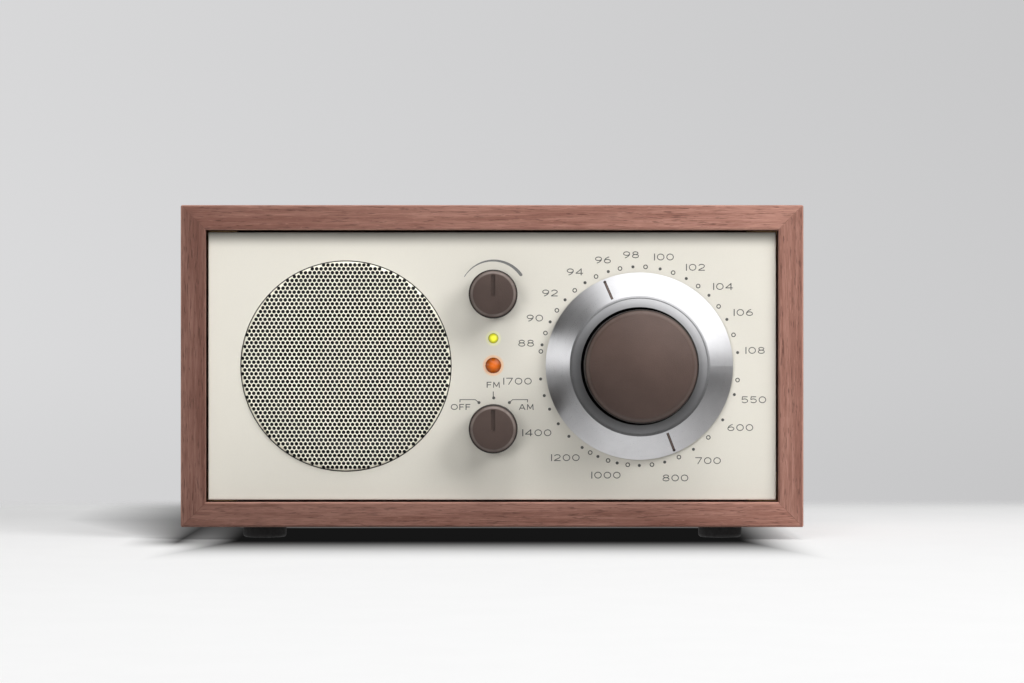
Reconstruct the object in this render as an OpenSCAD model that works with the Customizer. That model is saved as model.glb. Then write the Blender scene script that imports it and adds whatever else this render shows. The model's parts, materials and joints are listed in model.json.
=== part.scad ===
// Wooden table radio with a geared tuning dial, in millimetres
// +X to the right, -Y to the front, +Z up
// The origin is on the table, under the middle of the whole box
// The standard width is the inner width of 194.7, and what is inside follows it
// Modules on the front are drawn as seen from the front, with z towards the listener

/* [Cabinet] */
// Width of the cabinet
body_w = 212.7; // [207:0.1:236]
// Height of the cabinet above its feet
body_h = 110; // [107:0.5:126]
// Depth of the cabinet
body_d = 108; // [104:1:130]
// Thickness of the boards
board_t = 8.5; // [7:0.5:10]
// Rounding of the long board edges
board_round = 0.7; // [0.3:0.1:1.5]
// Height of the feet
foot_h = 4.3; // [3:0.1:8]
// Diameter of the feet
foot_d = 15; // [12:0.5:18]
// Distance of a foot's centre from the side of the cabinet
foot_inset_x = 27.4; // [14:0.5:32]
// Distance of a foot's centre from the front or back of the cabinet
foot_inset_y = 20; // [12:0.5:26]
// Side of the square blocks glued in the corners
block_s = 10; // [8:0.5:11]

/* [Panels] */
// How far the front panel lies behind the front edges of the boards
panel_recess = 2.5; // [1.5:0.1:4]
// Thickness of the front panel
panel_t = 2.8; // [2.4:0.1:3.6]
// Rounding of the front panel's edge
panel_round = 0.5; // [0.2:0.1:1]
// Gap between a panel and the boards around it
panel_gap = 0.7; // [0.2:0.1:1]
// Height of the corner pads behind the front panel
pad_h = 3; // [2:0.5:5]
// Thickness of the rear panel
rear_t = 2.5; // [2:0.1:3.4]
// How far the rear panel lies inside the back edges of the boards
rear_recess = 8; // [6:0.5:9]

/* [Speaker] */
// Speaker centre from the middle, in a cabinet of the standard width
speaker_side = -50; // [-51:0.5:-46]
// Diameter of the grille
grille_d = 71.6; // [66:0.2:74]
// How far the grille stands out of the panel
grille_rise = 1; // [0.6:0.1:1.6]
// Thickness of the grille's sheet
grille_sheet = 0.8; // [0.6:0.1:1]
// Radius of the grille's rolled edge
grille_edge = 1.4; // [1.2:0.1:2]
// Distance between neighbouring holes in the grille
grille_pitch = 2.4; // [2:0.1:4]
// Diameter of a hole in the grille
grille_hole = 1.5; // [0.8:0.05:1.6]
// Depth of the seat that holds the grille
grille_seat = 1.6; // [1.2:0.1:1.8]
// Diameter of the speaker's frame
basket_d = 82; // [79:0.5:84]
// Depth of the speaker's frame
basket_h = 15; // [13:0.5:17]
// Diameter of the cone
cone_d = 53; // [48:0.5:55]
// Diameter of the voice coil's former
coil_d = 20; // [16:0.5:22]
// Diameter of the magnet
magnet_d = 60; // [50:1:70]
// Height of the magnet
magnet_h = 10; // [8:0.5:12]
// Radial gap on each side of the voice coil
coil_gap = 0.4; // [0.3:0.05:0.6]
// Inner diameter of the bass port, in a cabinet of the standard width
port_size = 26; // [20:0.5:27]
// Length of the bass port
port_l = 46; // [30:1:60]

/* [Controls] */
// Middle of the control column
control_x = 0.4; // [-2:0.1:2]
// Volume knob above the middle of the panel
volume_up = 24.5; // [23:0.1:30]
// Mode knob below the middle of the panel
mode_down = 21.3; // [19:0.1:30]
// Diameter of the small knobs
knob_d = 16.6; // [15.4:0.1:20]
// How far the small knobs reach out of the panel
knob_reach = 12; // [10:0.1:15]
// Width of the sloping rim round the small knobs' faces
knob_rim = 1.5; // [0.8:0.1:2.5]
// Width of the groove in a small knob
groove_w = 1.4; // [0.8:0.1:2]
// Depth of the groove in a small knob
groove_d = 0.8; // [0.4:0.1:1.2]
// Diameter of the control shafts
shaft_d = 6; // [5:0.1:6.3]
// Diameter of the power lamp
power_d = 5.2; // [4:0.1:6]
// Power lamp above the middle of the panel
power_up = 0.2; // [-3:0.1:3]
// Diameter of the tuning lamp
tuned_d = 3.3; // [2.5:0.1:4]
// Tuning lamp above the middle of the panel
tuned_up = 9.5; // [8:0.1:12]

/* [Tuning dial] */
// Centre of the dial from the middle, in a cabinet of the standard width
dial_side = 50.3; // [47:0.1:55]
// Diameter of the dial ring
ring_d = 64; // [58:0.5:70]
// Diameter of the dial ring's ridge
ridge_d = 47.2; // [44:0.2:52]
// Height of the ridge above the panel
ridge_h = 8; // [6:0.5:12]
// Depth of the dial ring's dish below the ridge
dish_drop = 1; // [0.5:0.1:3]
// Thickness of the dial ring's rim
rim_h = 1.6; // [1:0.1:3]
// Gap between the dial ring and the panel
ring_gap = 0.6; // [0.4:0.1:1.5]
// Diameter of the tuning knob
tune_d = 38.3; // [30:0.1:40]
// How far the tuning knob reaches out of the panel
tune_reach = 24.5; // [18:0.5:32]
// Width of the sloping rim round the tuning knob's face
tune_rim = 1.8; // [1:0.1:3]
// Gap around the tuning knob
tune_gap = 0.9; // [0.6:0.1:1.5]

/* [Tuning gears] */
// Module of the gear teeth
gear_m = 0.7; // [0.7:0.01:0.8]
// Pressure angle of the gear teeth
gear_pa = 25; // [24:0.5:27]
// Width of the gear teeth
gear_w = 4.5; // [3:0.1:6]
// Free play between meshing teeth
gear_play = 0.12; // [0.08:0.01:0.2]
// Thickness of a carrier plate
carrier_t = 2; // [1.5:0.1:3]
// Diameter of the planet pins
pin_d = 3; // [2:0.1:4]
// Wall around the ring gear
gear_wall = 2.5; // [2:0.1:4]
// Running clearance between a shaft and its bore
run_gap = 0.05; // [0.02:0.01:0.08]

/* [Inside] */
// Width of the main circuit board, in a cabinet of the standard width
pcb_size = 82; // [76:0.5:83]
// Depth of the main circuit board
pcb_d = 64; // [60:1:76]
// Thickness of the main circuit board
pcb_t = 1.6; // [1:0.1:2]
// Height of the standoffs under the board
standoff_h = 10; // [8:0.5:14]
// Diameter of the ferrite rod
rod_d = 10; // [8:0.5:12]
// Length of the ferrite rod
rod_l = 110; // [90:1:120]
// Distance of the ferrite rod below the top board
rod_drop = 12; // [11:0.5:15]
// Width of the transformer's core, in a cabinet of the standard width
core_size = 48; // [42:0.5:49]
// Stack height of the transformer's laminations
core_stack = 18; // [14:0.5:22]

/* [Back] */
// How far the antenna socket reaches out behind the cabinet
socket_reach = 3.4; // [2:0.1:8]
// Diameter of the antenna socket
socket_d = 9.4; // [9:0.1:10]
// Bore of the 3.5 mm jacks
jack_bore = 3.6; // [3.5:0.05:3.8]
// Distance between two jacks
jack_pitch = 15; // [13:0.5:18]
// Distance between the pins of the mains inlet
pin_pitch = 8.6; // [8:0.1:10]
// Depth of the mains inlet's cavity
inlet_depth = 12; // [9:0.5:15]

/* [Hidden] */

// Fits and small sizes
fit_gap = 0.1;
soft_gap = 0.3;
flat_gap = 0.05;
seat_gap = 0.02;
screw_r = 1.25;
screw_head_r = 2.6;
screw_head_h = 1.6;
hex_over_flats = 1 / cos(30);

// Planes along the depth
overall_d = tune_reach - panel_recess + body_d + socket_reach;
front_y = -overall_d / 2 + tune_reach - panel_recess;
back_y = front_y + body_d;
panel_y = front_y + panel_recess;
panel_back = panel_y + panel_t;
rear_y = back_y - rear_recess;
rear_in = rear_y - rear_t;

// Heights
floor_z = foot_h + board_t;
axis_z = foot_h + body_h / 2;
roof_z = foot_h + body_h - board_t;
inner_w = body_w - 2 * board_t;
inner_h = body_h - 2 * board_t;
standard_w = 195.7;
across = inner_w / standard_w;
speaker_x = speaker_side * across;
dial_x = dial_side * across;
port_d = port_size * across;
pcb_w = pcb_size * across;
core_w = core_size * across;
volume_z = axis_z + volume_up;
mode_z = axis_z - mode_down;
board_z = floor_z + standoff_h;
rod_z = roof_z - rod_drop;

// Speaker, measured as depth behind the flange's front face
grille_r = grille_d / 2;
seat_r = grille_r + soft_gap;
aperture_r = grille_r - 2.6;
basket_r = basket_d / 2;
seat_ring_h = 3;
gasket_t = 1;
speaker_y = panel_back + seat_ring_h + gasket_t;
flange_t = 1.2;
flange_in = basket_r - 7;
shelf_in = flange_in - 2.8;
cone_r = cone_d / 2;
former_r = coil_d / 2;
former_t = 0.3;
wire_t = 0.5;
spider_d = basket_h - 4.5;
spider_out = former_r + 15;
pole_r = former_r - coil_gap;
gap_r = former_r + former_t + wire_t + coil_gap;
plate_t = 4;
plate_d = basket_h + flange_t;
magnet_top = plate_d + plate_t;
magnet_base = magnet_top + magnet_h;
speaker_screw_r = basket_r - 3;

// Controls
shaft_r = shaft_d / 2;
bush_r = shaft_r + 0.5 + run_gap;
bush_reach = panel_t + 2.5;
nut_t = 2;
nut_af = 2 * bush_r + 3;
knob_r = knob_d / 2;
knob_gap = 0.6;
pot_r = 8;
pot_h = 8;
switch_r = 9.5;
switch_h = 13;

// Gear drive: a fixed ring gear, three planets and a sun on the knob's shaft
sun_n = 12;
planet_n = 18;
ring_n = sun_n + 2 * planet_n;
orbit_r = gear_m * (sun_n + planet_n) / 2;
gear_add = 0.9 * gear_m;
gear_ded = 1.2 * gear_m;
cavity_r = gear_m * ring_n / 2 + gear_ded + 0.2;
housing_r = cavity_r + gear_wall;
housing_t = 2;
side_gap = 0.3;
front_plate_d = housing_t + side_gap;
teeth_d = front_plate_d + carrier_t + side_gap;
rear_plate_d = teeth_d + gear_w + side_gap;
cover_d = rear_plate_d + carrier_t + side_gap;
cover_t = 2;
carrier_r = gear_m * ring_n / 2 - gear_add - 0.8;
hub_r = shaft_r + 1.6;
neck_r = hub_r + 2.2;
pin_r = pin_d / 2;
pilot_r = 1.5;
lug_r = housing_r + 3.5;
ring_r = ring_d / 2;
ridge_r = ridge_d / 2;
tune_r = tune_d / 2;
dish_r = tune_r + tune_gap;
hub_top = 6;
cap_size = 24;
cap_h = 17;

// The knobs' sloping rims, and how far a small knob's groove ends before its rim
rim_slope = 33;
rim_corner = 0.5;
groove_end = 0.25;

// Places inside, counted from the middle in a cabinet of the standard width
pcb_side = 43;
port_side = -14.6;
rod_side = 24;
jack_side = 31;
dc_side = -38;
socket_side = 60;
// The socket's thread starts this far outside the panel, and its neck is this much thinner
thread_lift = 0.4;
thread_relief = 0.5;
switch_side = 78;
inlet_side = -68;
pcb_x = pcb_side * across;
pcb_back_gap = 2.8;
pcb_y = rear_in - pcb_back_gap - pcb_d / 2;
port_x = port_side * across;
port_wall = 1.6;
port_back_gap = 10.4;
port_y = rear_in - port_back_gap - port_d / 2 - port_wall;
port_lip = 1.5;
core_foot = core_w * 3 / 16;
core_gap = 1;
core_x = -inner_w / 2 + core_gap + core_foot + core_w / 2;
core_h = core_w * 5 / 6;
core_leg = core_w / 6;
inlet_wall = 1.4;
core_y = (speaker_y + magnet_base + plate_t + rear_y - inlet_depth - inlet_wall) / 2;
winding_out = 7;
rod_x = rod_side * across;
rod_back_gap = 25;
rod_y = rear_in - rod_back_gap;
jack_x = jack_side * across;
jack_step = jack_pitch * across;
jack_w = 11;
jack_d = 12;
jack_up = 6;
jack_z = board_z + pcb_t + jack_up;
jack_collar_r = jack_bore / 2 + 1.7;
dc_x = dc_side * across;
dc_bore = 5.5;
dc_collar_r = dc_bore / 2 + 1.6;
socket_x = socket_side * across;
socket_up = 24;
socket_z = floor_z + socket_up;
switch_x = switch_side * across;
slider_w = 4;
slider_h = 3;
slider_travel = 2.5;
slot_w = slider_w + slider_travel + 2 * soft_gap;
slot_h = slider_h + 2 * soft_gap;
inlet_x = inlet_side * across;
inlet_up = 20;
inlet_z = floor_z + inlet_up;
inlet_r = 4.6;
inlet_w = pin_pitch + 2 * inlet_r + 2 * inlet_wall;
inlet_h = 2 * inlet_r + 2 * inlet_wall;
can_w = 7.4;
can_h = 11.5;
can_pitch = 11 * across;
can_in = 12;
cap_big_r = 6.5;
cap_big_h = 24;
cap_mid_r = 5;
cap_mid_h = 16;
cap_small_r = 4;
cap_small_h = 12;

// Shapes used again and again

module round_rect(w, h, r) {
  square([w - 2 * r, h], center = true);
  square([w, h - 2 * r], center = true);
  for (x = [-1, 1])
    for (y = [-1, 1])
      translate([x * (w / 2 - r), y * (h / 2 - r)]) circle(r = r, $fn = 32);
}

module disc(r, low, high) {
  translate([0, 0, low]) cylinder(r = r, h = high - low, $fn = 96);
}

module tube(r_out, r_in, low, high) {
  difference() {
    disc(r_out, low, high);
    disc(r_in, low - 1, high + 1);
  }
}

// Places on the front are seen from the front, with z out of the panel
module at_front(x, z) {
  translate([x, panel_y, z]) rotate([90, 0, 0]) children();
}

// Places behind the panel count their depth along z, seen from behind
module behind(x, z, y) {
  translate([x, y, z]) rotate([-90, 0, 0]) children();
}

module round_hole_in_y(x, z, r) {
  translate([x, -overall_d, z]) rotate([-90, 0, 0]) cylinder(r = r, h = 2 * overall_d, $fn = 64);
}

module screw(length) {
  disc(screw_r, -screw_head_h, length);
  difference() {
    translate([0, 0, -screw_head_h]) cylinder(r1 = screw_head_r - 0.7, r2 = screw_head_r, h = screw_head_h, $fn = 48);
    for (turn = [0, 90])
      rotate(turn) translate([-1.6, -0.3, -screw_head_h - 1]) cube([3.2, 0.6, 1.8]);
  }
}

// Cabinet

// Board section across the depth and height, with its four long edges rounded
module board_run(length) {
  rotate([90, 0, 90]) translate([0, 0, -length / 2]) linear_extrude(length)
    round_rect(body_d, board_t, board_round);
}

module cabinet_outline() {
  translate([0, back_y + 1, axis_z]) rotate([90, 0, 0]) linear_extrude(body_d + 2)
    round_rect(body_w, body_h, board_round);
}

// A mitred board along X at the top, seen from the front
module mitred_top() {
  intersection() {
    translate([0, front_y + body_d / 2, foot_h + body_h - board_t / 2]) board_run(body_w);
    translate([0, back_y + 1, foot_h + body_h]) rotate([90, 0, 0]) linear_extrude(body_d + 2)
      polygon([[-body_w / 2, 0], [body_w / 2, 0], [inner_w / 2, -board_t], [-inner_w / 2, -board_t]]);
    cabinet_outline();
  }
}

module mitred_right() {
  intersection() {
    translate([body_w / 2 - board_t / 2, front_y + body_d / 2, axis_z]) rotate([0, 90, 0]) board_run(body_h);
    translate([body_w / 2, back_y + 1, axis_z]) rotate([90, 0, 0]) linear_extrude(body_d + 2)
      polygon([[0, -body_h / 2], [0, body_h / 2], [-board_t, inner_h / 2], [-board_t, -inner_h / 2]]);
    cabinet_outline();
  }
}

module cabinet_top() {
  color([0.57, 0.41, 0.37]) mitred_top();
}

module cabinet_right_side() {
  color([0.62, 0.45, 0.4]) mitred_right();
}

module cabinet_left_side() {
  color([0.47, 0.34, 0.3]) mirror([1, 0, 0]) mitred_right();
}

module cabinet_bottom() {
  color([0.56, 0.41, 0.36]) difference() {
    translate([0, 0, 2 * axis_z]) mirror([0, 0, 1]) mitred_top();
    translate([port_x, port_y, 0]) disc(port_d / 2 + port_wall + fit_gap, 0, floor_z + 1);
    at_feet() disc(screw_r + 0.05, 0, foot_h + 6);
    pcb_corners() disc(screw_r + 0.05, floor_z - 5, floor_z + 1);
    at_core_feet() disc(screw_r + 0.05, floor_z - 5, floor_z + 1);
  }
}

// Glued blocks that take the panel screws
module corner_blocks() {
  color([0.75, 0.62, 0.45])
    for (sx = [-1, 1])
      for (sz = [-1, 1])
        for (y = [panel_back + pad_h, rear_in - block_s]) difference() {
          translate([sx * (inner_w - block_s) / 2 - block_s / 2, y, axis_z + sz * (inner_h - block_s) / 2 - block_s / 2])
            cube([block_s, block_s, block_s]);
          round_hole_in_y(sx * (inner_w - block_s) / 2, axis_z + sz * (inner_h - block_s) / 2, screw_r + 0.05);
        }
}

module at_feet() {
  for (sx = [-1, 1])
    for (y = [front_y + foot_inset_y, back_y - foot_inset_y])
      translate([sx * (body_w / 2 - foot_inset_x), y, 0]) children();
}

// Rubber feet with a rounded tread and a recess for the screw
module foot() {
  rotate_extrude($fn = 96) difference() {
    union() {
      square([foot_d / 2 - 1, foot_h]);
      translate([0, 1]) square([foot_d / 2, foot_h - 1]);
      translate([foot_d / 2 - 1, 1]) circle(r = 1, $fn = 32);
    }
    translate([0, -1]) square([screw_head_r + 0.4, foot_h / 2 + 1]);
    translate([0, -1]) square([screw_r + 0.05, foot_h + 2]);
  }
}

module feet() {
  color([0.12, 0.12, 0.12]) at_feet() foot();
}

// Port tube with a flange under the bottom board and a flared mouth
module bass_port() {
  color([0.1, 0.1, 0.1]) translate([port_x, port_y, foot_h]) rotate_extrude($fn = 96) difference() {
    union() {
      translate([port_d / 2, 0]) square([port_wall, port_l]);
      translate([port_d / 2, -port_lip]) square([port_wall + 2.4, port_lip]);
    }
    difference() {
      translate([port_d / 2 - 1, -2.5]) square([2.5, 2.5]);
      translate([port_d / 2 + 1.5, 0]) circle(r = 1.5, $fn = 48);
    }
  }
}

// Panels

// A plate seen from the front whose face edges are rounded, with its face at z = 0
module round_faced_plate(w, h, t, r) {
  intersection() {
    translate([0, 0, -t]) linear_extrude(t + 1) round_rect(w, h, 1);
    rotate([90, 0, 0]) translate([0, -t, -h]) linear_extrude(2 * h) {
      translate([-w / 2, -1]) square([w, t + 1 - r]);
      translate([-w / 2 + r, 0]) square([w - 2 * r, t]);
      for (s = [-1, 1]) translate([s * (w / 2 - r), t - r]) circle(r = r, $fn = 32);
    }
    rotate([90, 0, 90]) translate([0, -t, -w]) linear_extrude(2 * w) {
      translate([-h / 2, -1]) square([h, t + 1 - r]);
      translate([-h / 2 + r, 0]) square([h - 2 * r, t]);
      for (s = [-1, 1]) translate([s * (h / 2 - r), t - r]) circle(r = r, $fn = 32);
    }
  }
}

module front_panel() {
  w = inner_w - 2 * panel_gap;
  h = inner_h - 2 * panel_gap;
  color([0.87, 0.85, 0.8]) at_front(0, axis_z) difference() {
    union() {
      round_faced_plate(w, h, panel_t, panel_round);
      // Raised ring for the speaker and pads for the corner blocks
      translate([speaker_x, 0, 0]) disc(basket_r + 1, -panel_t - seat_ring_h, -panel_t / 2);
      for (sx = [-1, 1])
        for (sz = [-1, 1])
          translate([sx * (inner_w - block_s) / 2, sz * (inner_h - block_s) / 2, -panel_t - pad_h])
            linear_extrude(pad_h + panel_t / 2) square(block_s - 2 * panel_gap, center = true);
      // Stiffening ribs across the free span
      for (s = [-1, 1])
        translate([-5, s * (h / 2 - 2.5) - 0.6, -panel_t - 2]) cube([85, 1.2, 2 + panel_t / 2]);
    }
    translate([speaker_x, 0, 0]) {
      disc(seat_r, -grille_seat, 1);
      disc(aperture_r, -panel_t - seat_ring_h - 1, 1);
      for (turn = [45:90:315]) rotate(turn) translate([speaker_screw_r, 0, 0])
        disc(screw_r + 0.05, -panel_t - seat_ring_h - 1, -panel_t + 0.8);
    }
    translate([control_x, volume_up, 0]) disc(bush_r + fit_gap, -panel_t - 1, 1);
    translate([control_x, -mode_down, 0]) disc(bush_r + fit_gap, -panel_t - 1, 1);
    translate([control_x, power_up, 0]) disc(power_d / 2 + fit_gap, -panel_t - 1, 1);
    translate([control_x, tuned_up, 0]) disc(tuned_d / 2 + fit_gap, -panel_t - 1, 1);
    translate([dial_x, 0, 0]) disc(neck_r + fit_gap, -panel_t - 1, 1);
    // Blind holes for the corner screws and the gear housing's screws
    for (sx = [-1, 1])
      for (sz = [-1, 1])
        translate([sx * (inner_w - block_s) / 2, sz * (inner_h - block_s) / 2, 0])
          disc(screw_r + 0.05, -panel_t - pad_h - 1, -1.2);
    translate([dial_x, 0, 0])
      for (turn = [30:120:270]) rotate(turn) translate([lug_r, 0, 0]) disc(screw_r + 0.05, -panel_t - 1, -0.8);
  }
}

module panel_screws() {
  color([0.25, 0.25, 0.26])
    for (sx = [-1, 1])
      for (sz = [-1, 1]) {
        x = sx * (inner_w - block_s) / 2;
        z = axis_z + sz * (inner_h - block_s) / 2;
        translate([x, panel_back + pad_h + block_s, z]) rotate([90, 0, 0]) screw(block_s + pad_h + 1.2);
        translate([x, rear_y, z]) rotate([90, 0, 0]) screw(rear_t + block_s - 1);
      }
}

// The rear panel, with its holes for the sockets, all in its lower half
module rear_panel() {
  color([0.1, 0.1, 0.11]) difference() {
    translate([0, rear_y, axis_z]) rotate([90, 0, 0]) linear_extrude(rear_t)
      round_rect(inner_w - 2 * panel_gap, inner_h - 2 * panel_gap, 1);
    for (sx = [-1, 1])
      for (sz = [-1, 1])
        round_hole_in_y(sx * (inner_w - block_s) / 2, axis_z + sz * (inner_h - block_s) / 2, screw_r + 0.05);
    for (k = [0:2])
      round_hole_in_y(jack_x + (k - 1) * jack_step, jack_z, jack_collar_r + fit_gap);
    round_hole_in_y(dc_x, jack_z, dc_collar_r + fit_gap);
    round_hole_in_y(socket_x, socket_z, socket_d / 2 + fit_gap);
    translate([switch_x, rear_y + 1, socket_z]) rotate([90, 0, 0]) linear_extrude(rear_t + 2)
      square([slot_w, slot_h], center = true);
    translate([inlet_x, rear_y + 1, inlet_z]) rotate([90, 0, 0]) linear_extrude(rear_t + 2)
      round_rect(inlet_w + 2 * fit_gap, inlet_h + 2 * fit_gap, inlet_h / 2 - 0.5);
  }
}

// Speaker

// Rows of holes as a sheet metal die punches them, every other row set off by half a pitch
module grille_holes() {
  reach = grille_r - grille_edge - grille_hole / 2;
  row = grille_pitch * sqrt(3) / 2;
  n = ceil(reach / row);
  for (j = [-n:n])
    for (i = [-n - 1:n + 1])
      if (norm([(i + abs(j) % 2 / 2) * grille_pitch, j * row]) < reach)
        translate([(i + abs(j) % 2 / 2) * grille_pitch, j * row, -grille_sheet - 1])
          cylinder(d = grille_hole, h = grille_sheet + 2, $fn = 16);
}

// Perforated dish with a rolled edge that ends in the panel's seat
module speaker_grille() {
  flat = grille_r - grille_edge;
  deep = grille_rise + grille_seat - seat_gap;
  color([0.9, 0.9, 0.84]) at_front(speaker_x, axis_z) translate([0, 0, grille_rise]) difference() {
    rotate_extrude($fn = 96) difference() {
      union() {
        translate([0, -deep]) square([flat, deep]);
        translate([0, -deep]) square([grille_r, deep - grille_edge]);
        translate([flat, -grille_edge]) circle(r = grille_edge, $fn = 48);
      }
      translate([-1, -deep - 1]) square([flat + 1, deep + 1 - grille_sheet]);
      translate([-1, -deep - 1]) square([grille_r - grille_sheet + 1, deep + 1 - grille_edge]);
      translate([flat, -grille_edge]) circle(r = grille_edge - grille_sheet, $fn = 48);
    }
    grille_holes();
  }
}

module at_speaker() {
  behind(speaker_x, axis_z, speaker_y) children();
}

module speaker_gasket() {
  color([0.15, 0.15, 0.16]) behind(speaker_x, axis_z, speaker_y - gasket_t) difference() {
    tube(basket_r, flange_in, 0, gasket_t);
    for (turn = [45:90:315]) rotate(turn) translate([speaker_screw_r, 0, 0])
      disc(screw_r + 0.05, -1, gasket_t + 1);
  }
}

// Pressed steel frame: a flange, a shelf for the surround, six windows and a seat for the magnet
module speaker_basket() {
  cup = spider_out - 1.5;
  color([0.2, 0.2, 0.21]) at_speaker() difference() {
    rotate_extrude($fn = 96) polygon([
      [flange_in, 0],
      [basket_r, 0],
      [basket_r, flange_t],
      [flange_in + flange_t, flange_t],
      [flange_in + flange_t, 2 * flange_t],
      [shelf_in + flange_t, 2 * flange_t],
      [spider_out + 2.6, spider_d + flange_t],
      [cup + 1, spider_d + flange_t],
      [cup, plate_d],
      [gap_r + 2, plate_d],
      [gap_r + 2, basket_h],
      [cup - 1, basket_h],
      [cup - 0.4, spider_d],
      [spider_out + 2, spider_d],
      [shelf_in, flange_t],
      [flange_in, flange_t]
    ]);
    for (turn = [0:60:300]) rotate(turn - 20) rotate_extrude(angle = 40, $fn = 96)
      translate([spider_out + 1, 3.4]) square([basket_r - spider_out, spider_d - 4.4]);
    for (turn = [45:90:315]) rotate(turn) translate([speaker_screw_r, 0, 0])
      disc(screw_r + 0.05, -1, flange_t + 1);
  }
}

// Half roll of rubber between the frame's shelf and the cone
module speaker_surround() {
  roll = (shelf_in - cone_r - 0.6) / 2;
  color([0.1, 0.1, 0.1]) at_speaker() rotate_extrude($fn = 96) {
    translate([cone_r + 0.6 + roll, flange_t - 0.4]) difference() {
      circle(r = roll, $fn = 48);
      circle(r = roll - 0.4, $fn = 48);
      translate([-2 * roll, 0]) square([4 * roll, 2 * roll]);
    }
    translate([shelf_in - 0.4, flange_t - 0.4]) square([flange_in - shelf_in - 0.1 + 0.4, 0.4]);
    translate([cone_r - 1.6, flange_t - 0.4]) square([2.6, 0.4]);
  }
}

module speaker_cone() {
  color([0.28, 0.27, 0.25]) at_speaker() rotate_extrude($fn = 96) polygon([
    [cone_r + 0.3, flange_t],
    [cone_r + 0.3, flange_t + 0.5],
    [cone_r - 1.8, flange_t + 0.5],
    [former_r + former_t + 0.02, spider_d - 1.2],
    [former_r + former_t + 0.02, spider_d - 1.8],
    [cone_r - 1.6, flange_t]
  ]);
}

// Shallow dome over the neck of the cone
module dust_cap() {
  rim = former_r + 2;
  rise = 3;
  ball = (rim * rim + rise * rise) / (2 * rise);
  neck = spider_d - 1.8;
  slope = (neck - flange_t) / (cone_r - 1.6 - former_r - former_t);
  color([0.2, 0.19, 0.18]) at_speaker() translate([0, 0, neck - (rim - former_r - former_t) * slope - 0.02]) rotate_extrude($fn = 96)
    difference() {
      translate([0, ball - rise]) circle(r = ball, $fn = 180);
      translate([0, ball - rise]) circle(r = ball - 0.4, $fn = 180);
      translate([-2 * ball, 0]) square([4 * ball, 3 * ball]);
      translate([-2 * ball, -ball]) square([2 * ball, 3 * ball]);
    }
}

module voice_coil() {
  color([0.72, 0.45, 0.2]) at_speaker() {
    tube(former_r + former_t, former_r, spider_d - 2, magnet_top - 0.8);
    tube(former_r + former_t + wire_t, former_r + former_t - 0.1, plate_d - 0.4, magnet_top - 0.8);
  }
}

// Corrugated cloth disc that centres the coil
module spider() {
  inner = former_r + former_t + 0.02;
  outer = spider_out - 2;
  n = 24;
  wave = [for (k = [0:n]) [inner + (outer - inner) * k / n, spider_d - 1.2 + 0.6 * sin(k * 90)]];
  color([0.72, 0.55, 0.25]) at_speaker() rotate_extrude($fn = 96) {
    polygon(concat(wave, [for (k = [n:-1:0]) wave[k] + [0, 0.4]]));
    translate([outer - 0.3, spider_d - 1.2]) square([0.4, 1.2]);
    translate([outer - 0.3, spider_d - 0.4]) square([4, 0.4]);
  }
}

module magnet_front_plate() {
  color([0.6, 0.6, 0.62]) at_speaker() tube(magnet_d / 2 - 3, gap_r, plate_d, magnet_top);
}

module magnet_ring() {
  color([0.22, 0.22, 0.23]) at_speaker() tube(magnet_d / 2, gap_r + 4, magnet_top, magnet_base);
}

// Back plate with the pole in one piece
module magnet_yoke() {
  color([0.58, 0.58, 0.6]) at_speaker() {
    disc(magnet_d / 2 - 3, magnet_base, magnet_base + plate_t);
    disc(pole_r, plate_d, magnet_base + 1);
  }
}

module speaker_screws() {
  color([0.3, 0.3, 0.3]) behind(speaker_x, axis_z, speaker_y + flange_t)
    for (turn = [45:90:315]) rotate(turn) translate([speaker_screw_r, 0, 0]) mirror([0, 0, 1])
      screw(flange_t + gasket_t + seat_ring_h + 0.6);
}

// Small knobs and what they turn

// Half section of a knob: a flat face, a sloping rim and a rounded corner
module knob_section(r, rim, low, reach) {
  fall = (rim - rim_corner * (1 - sin(rim_slope))) * tan(rim_slope);
  corner_z = reach - fall - rim_corner * cos(rim_slope);
  polygon([
    [0, low],
    [r, low],
    [r, corner_z],
    [r - rim_corner, corner_z],
    [r - rim_corner * (1 - sin(rim_slope)), reach - fall],
    [r - rim, reach],
    [0, reach]
  ]);
  translate([r - rim_corner, corner_z]) circle(r = rim_corner, $fn = 48);
}

// Hollow knob with a sloping rim, a pointer groove and a boss on a flatted shaft
module small_knob() {
  hollow_r = nut_af * hex_over_flats / 2 + 0.5;
  hollow = bush_reach - panel_t + 1.2;
  difference() {
    rotate_extrude($fn = 96) {
      knob_section(knob_r, knob_rim, knob_gap, knob_reach);
    }
    disc(hollow_r, knob_gap - 1, hollow);
    intersection() {
      disc(shaft_r + 0.02, hollow - 1, knob_reach - 2.4);
      translate([-shaft_r - 1, -shaft_r + 1, 0]) cube([2 * shaft_r + 2, 2 * shaft_r, knob_reach]);
    }
    translate([0, 0, knob_reach - groove_d]) {
      translate([-groove_w / 2, 0, 0]) cube([groove_w, knob_r - knob_rim - groove_end, 2 * groove_d]);
      cylinder(d = groove_w, h = 2 * groove_d, $fn = 32);
    }
  }
}

// Shaft with a flat at the bottom for the knob
module control_shaft(depth) {
  difference() {
    disc(shaft_r, -panel_t - depth, knob_reach - 2.6);
    translate([-shaft_r, -shaft_r - 1, bush_reach - panel_t + 0.6]) cube([2 * shaft_r, 2 + flat_gap, knob_reach]);
  }
}

module volume_knob() {
  color([0.31, 0.26, 0.25]) at_front(control_x, volume_z) small_knob();
}

module volume_shaft() {
  color([0.75, 0.75, 0.76]) at_front(control_x, volume_z) control_shaft(pot_h - 2);
}

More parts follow.
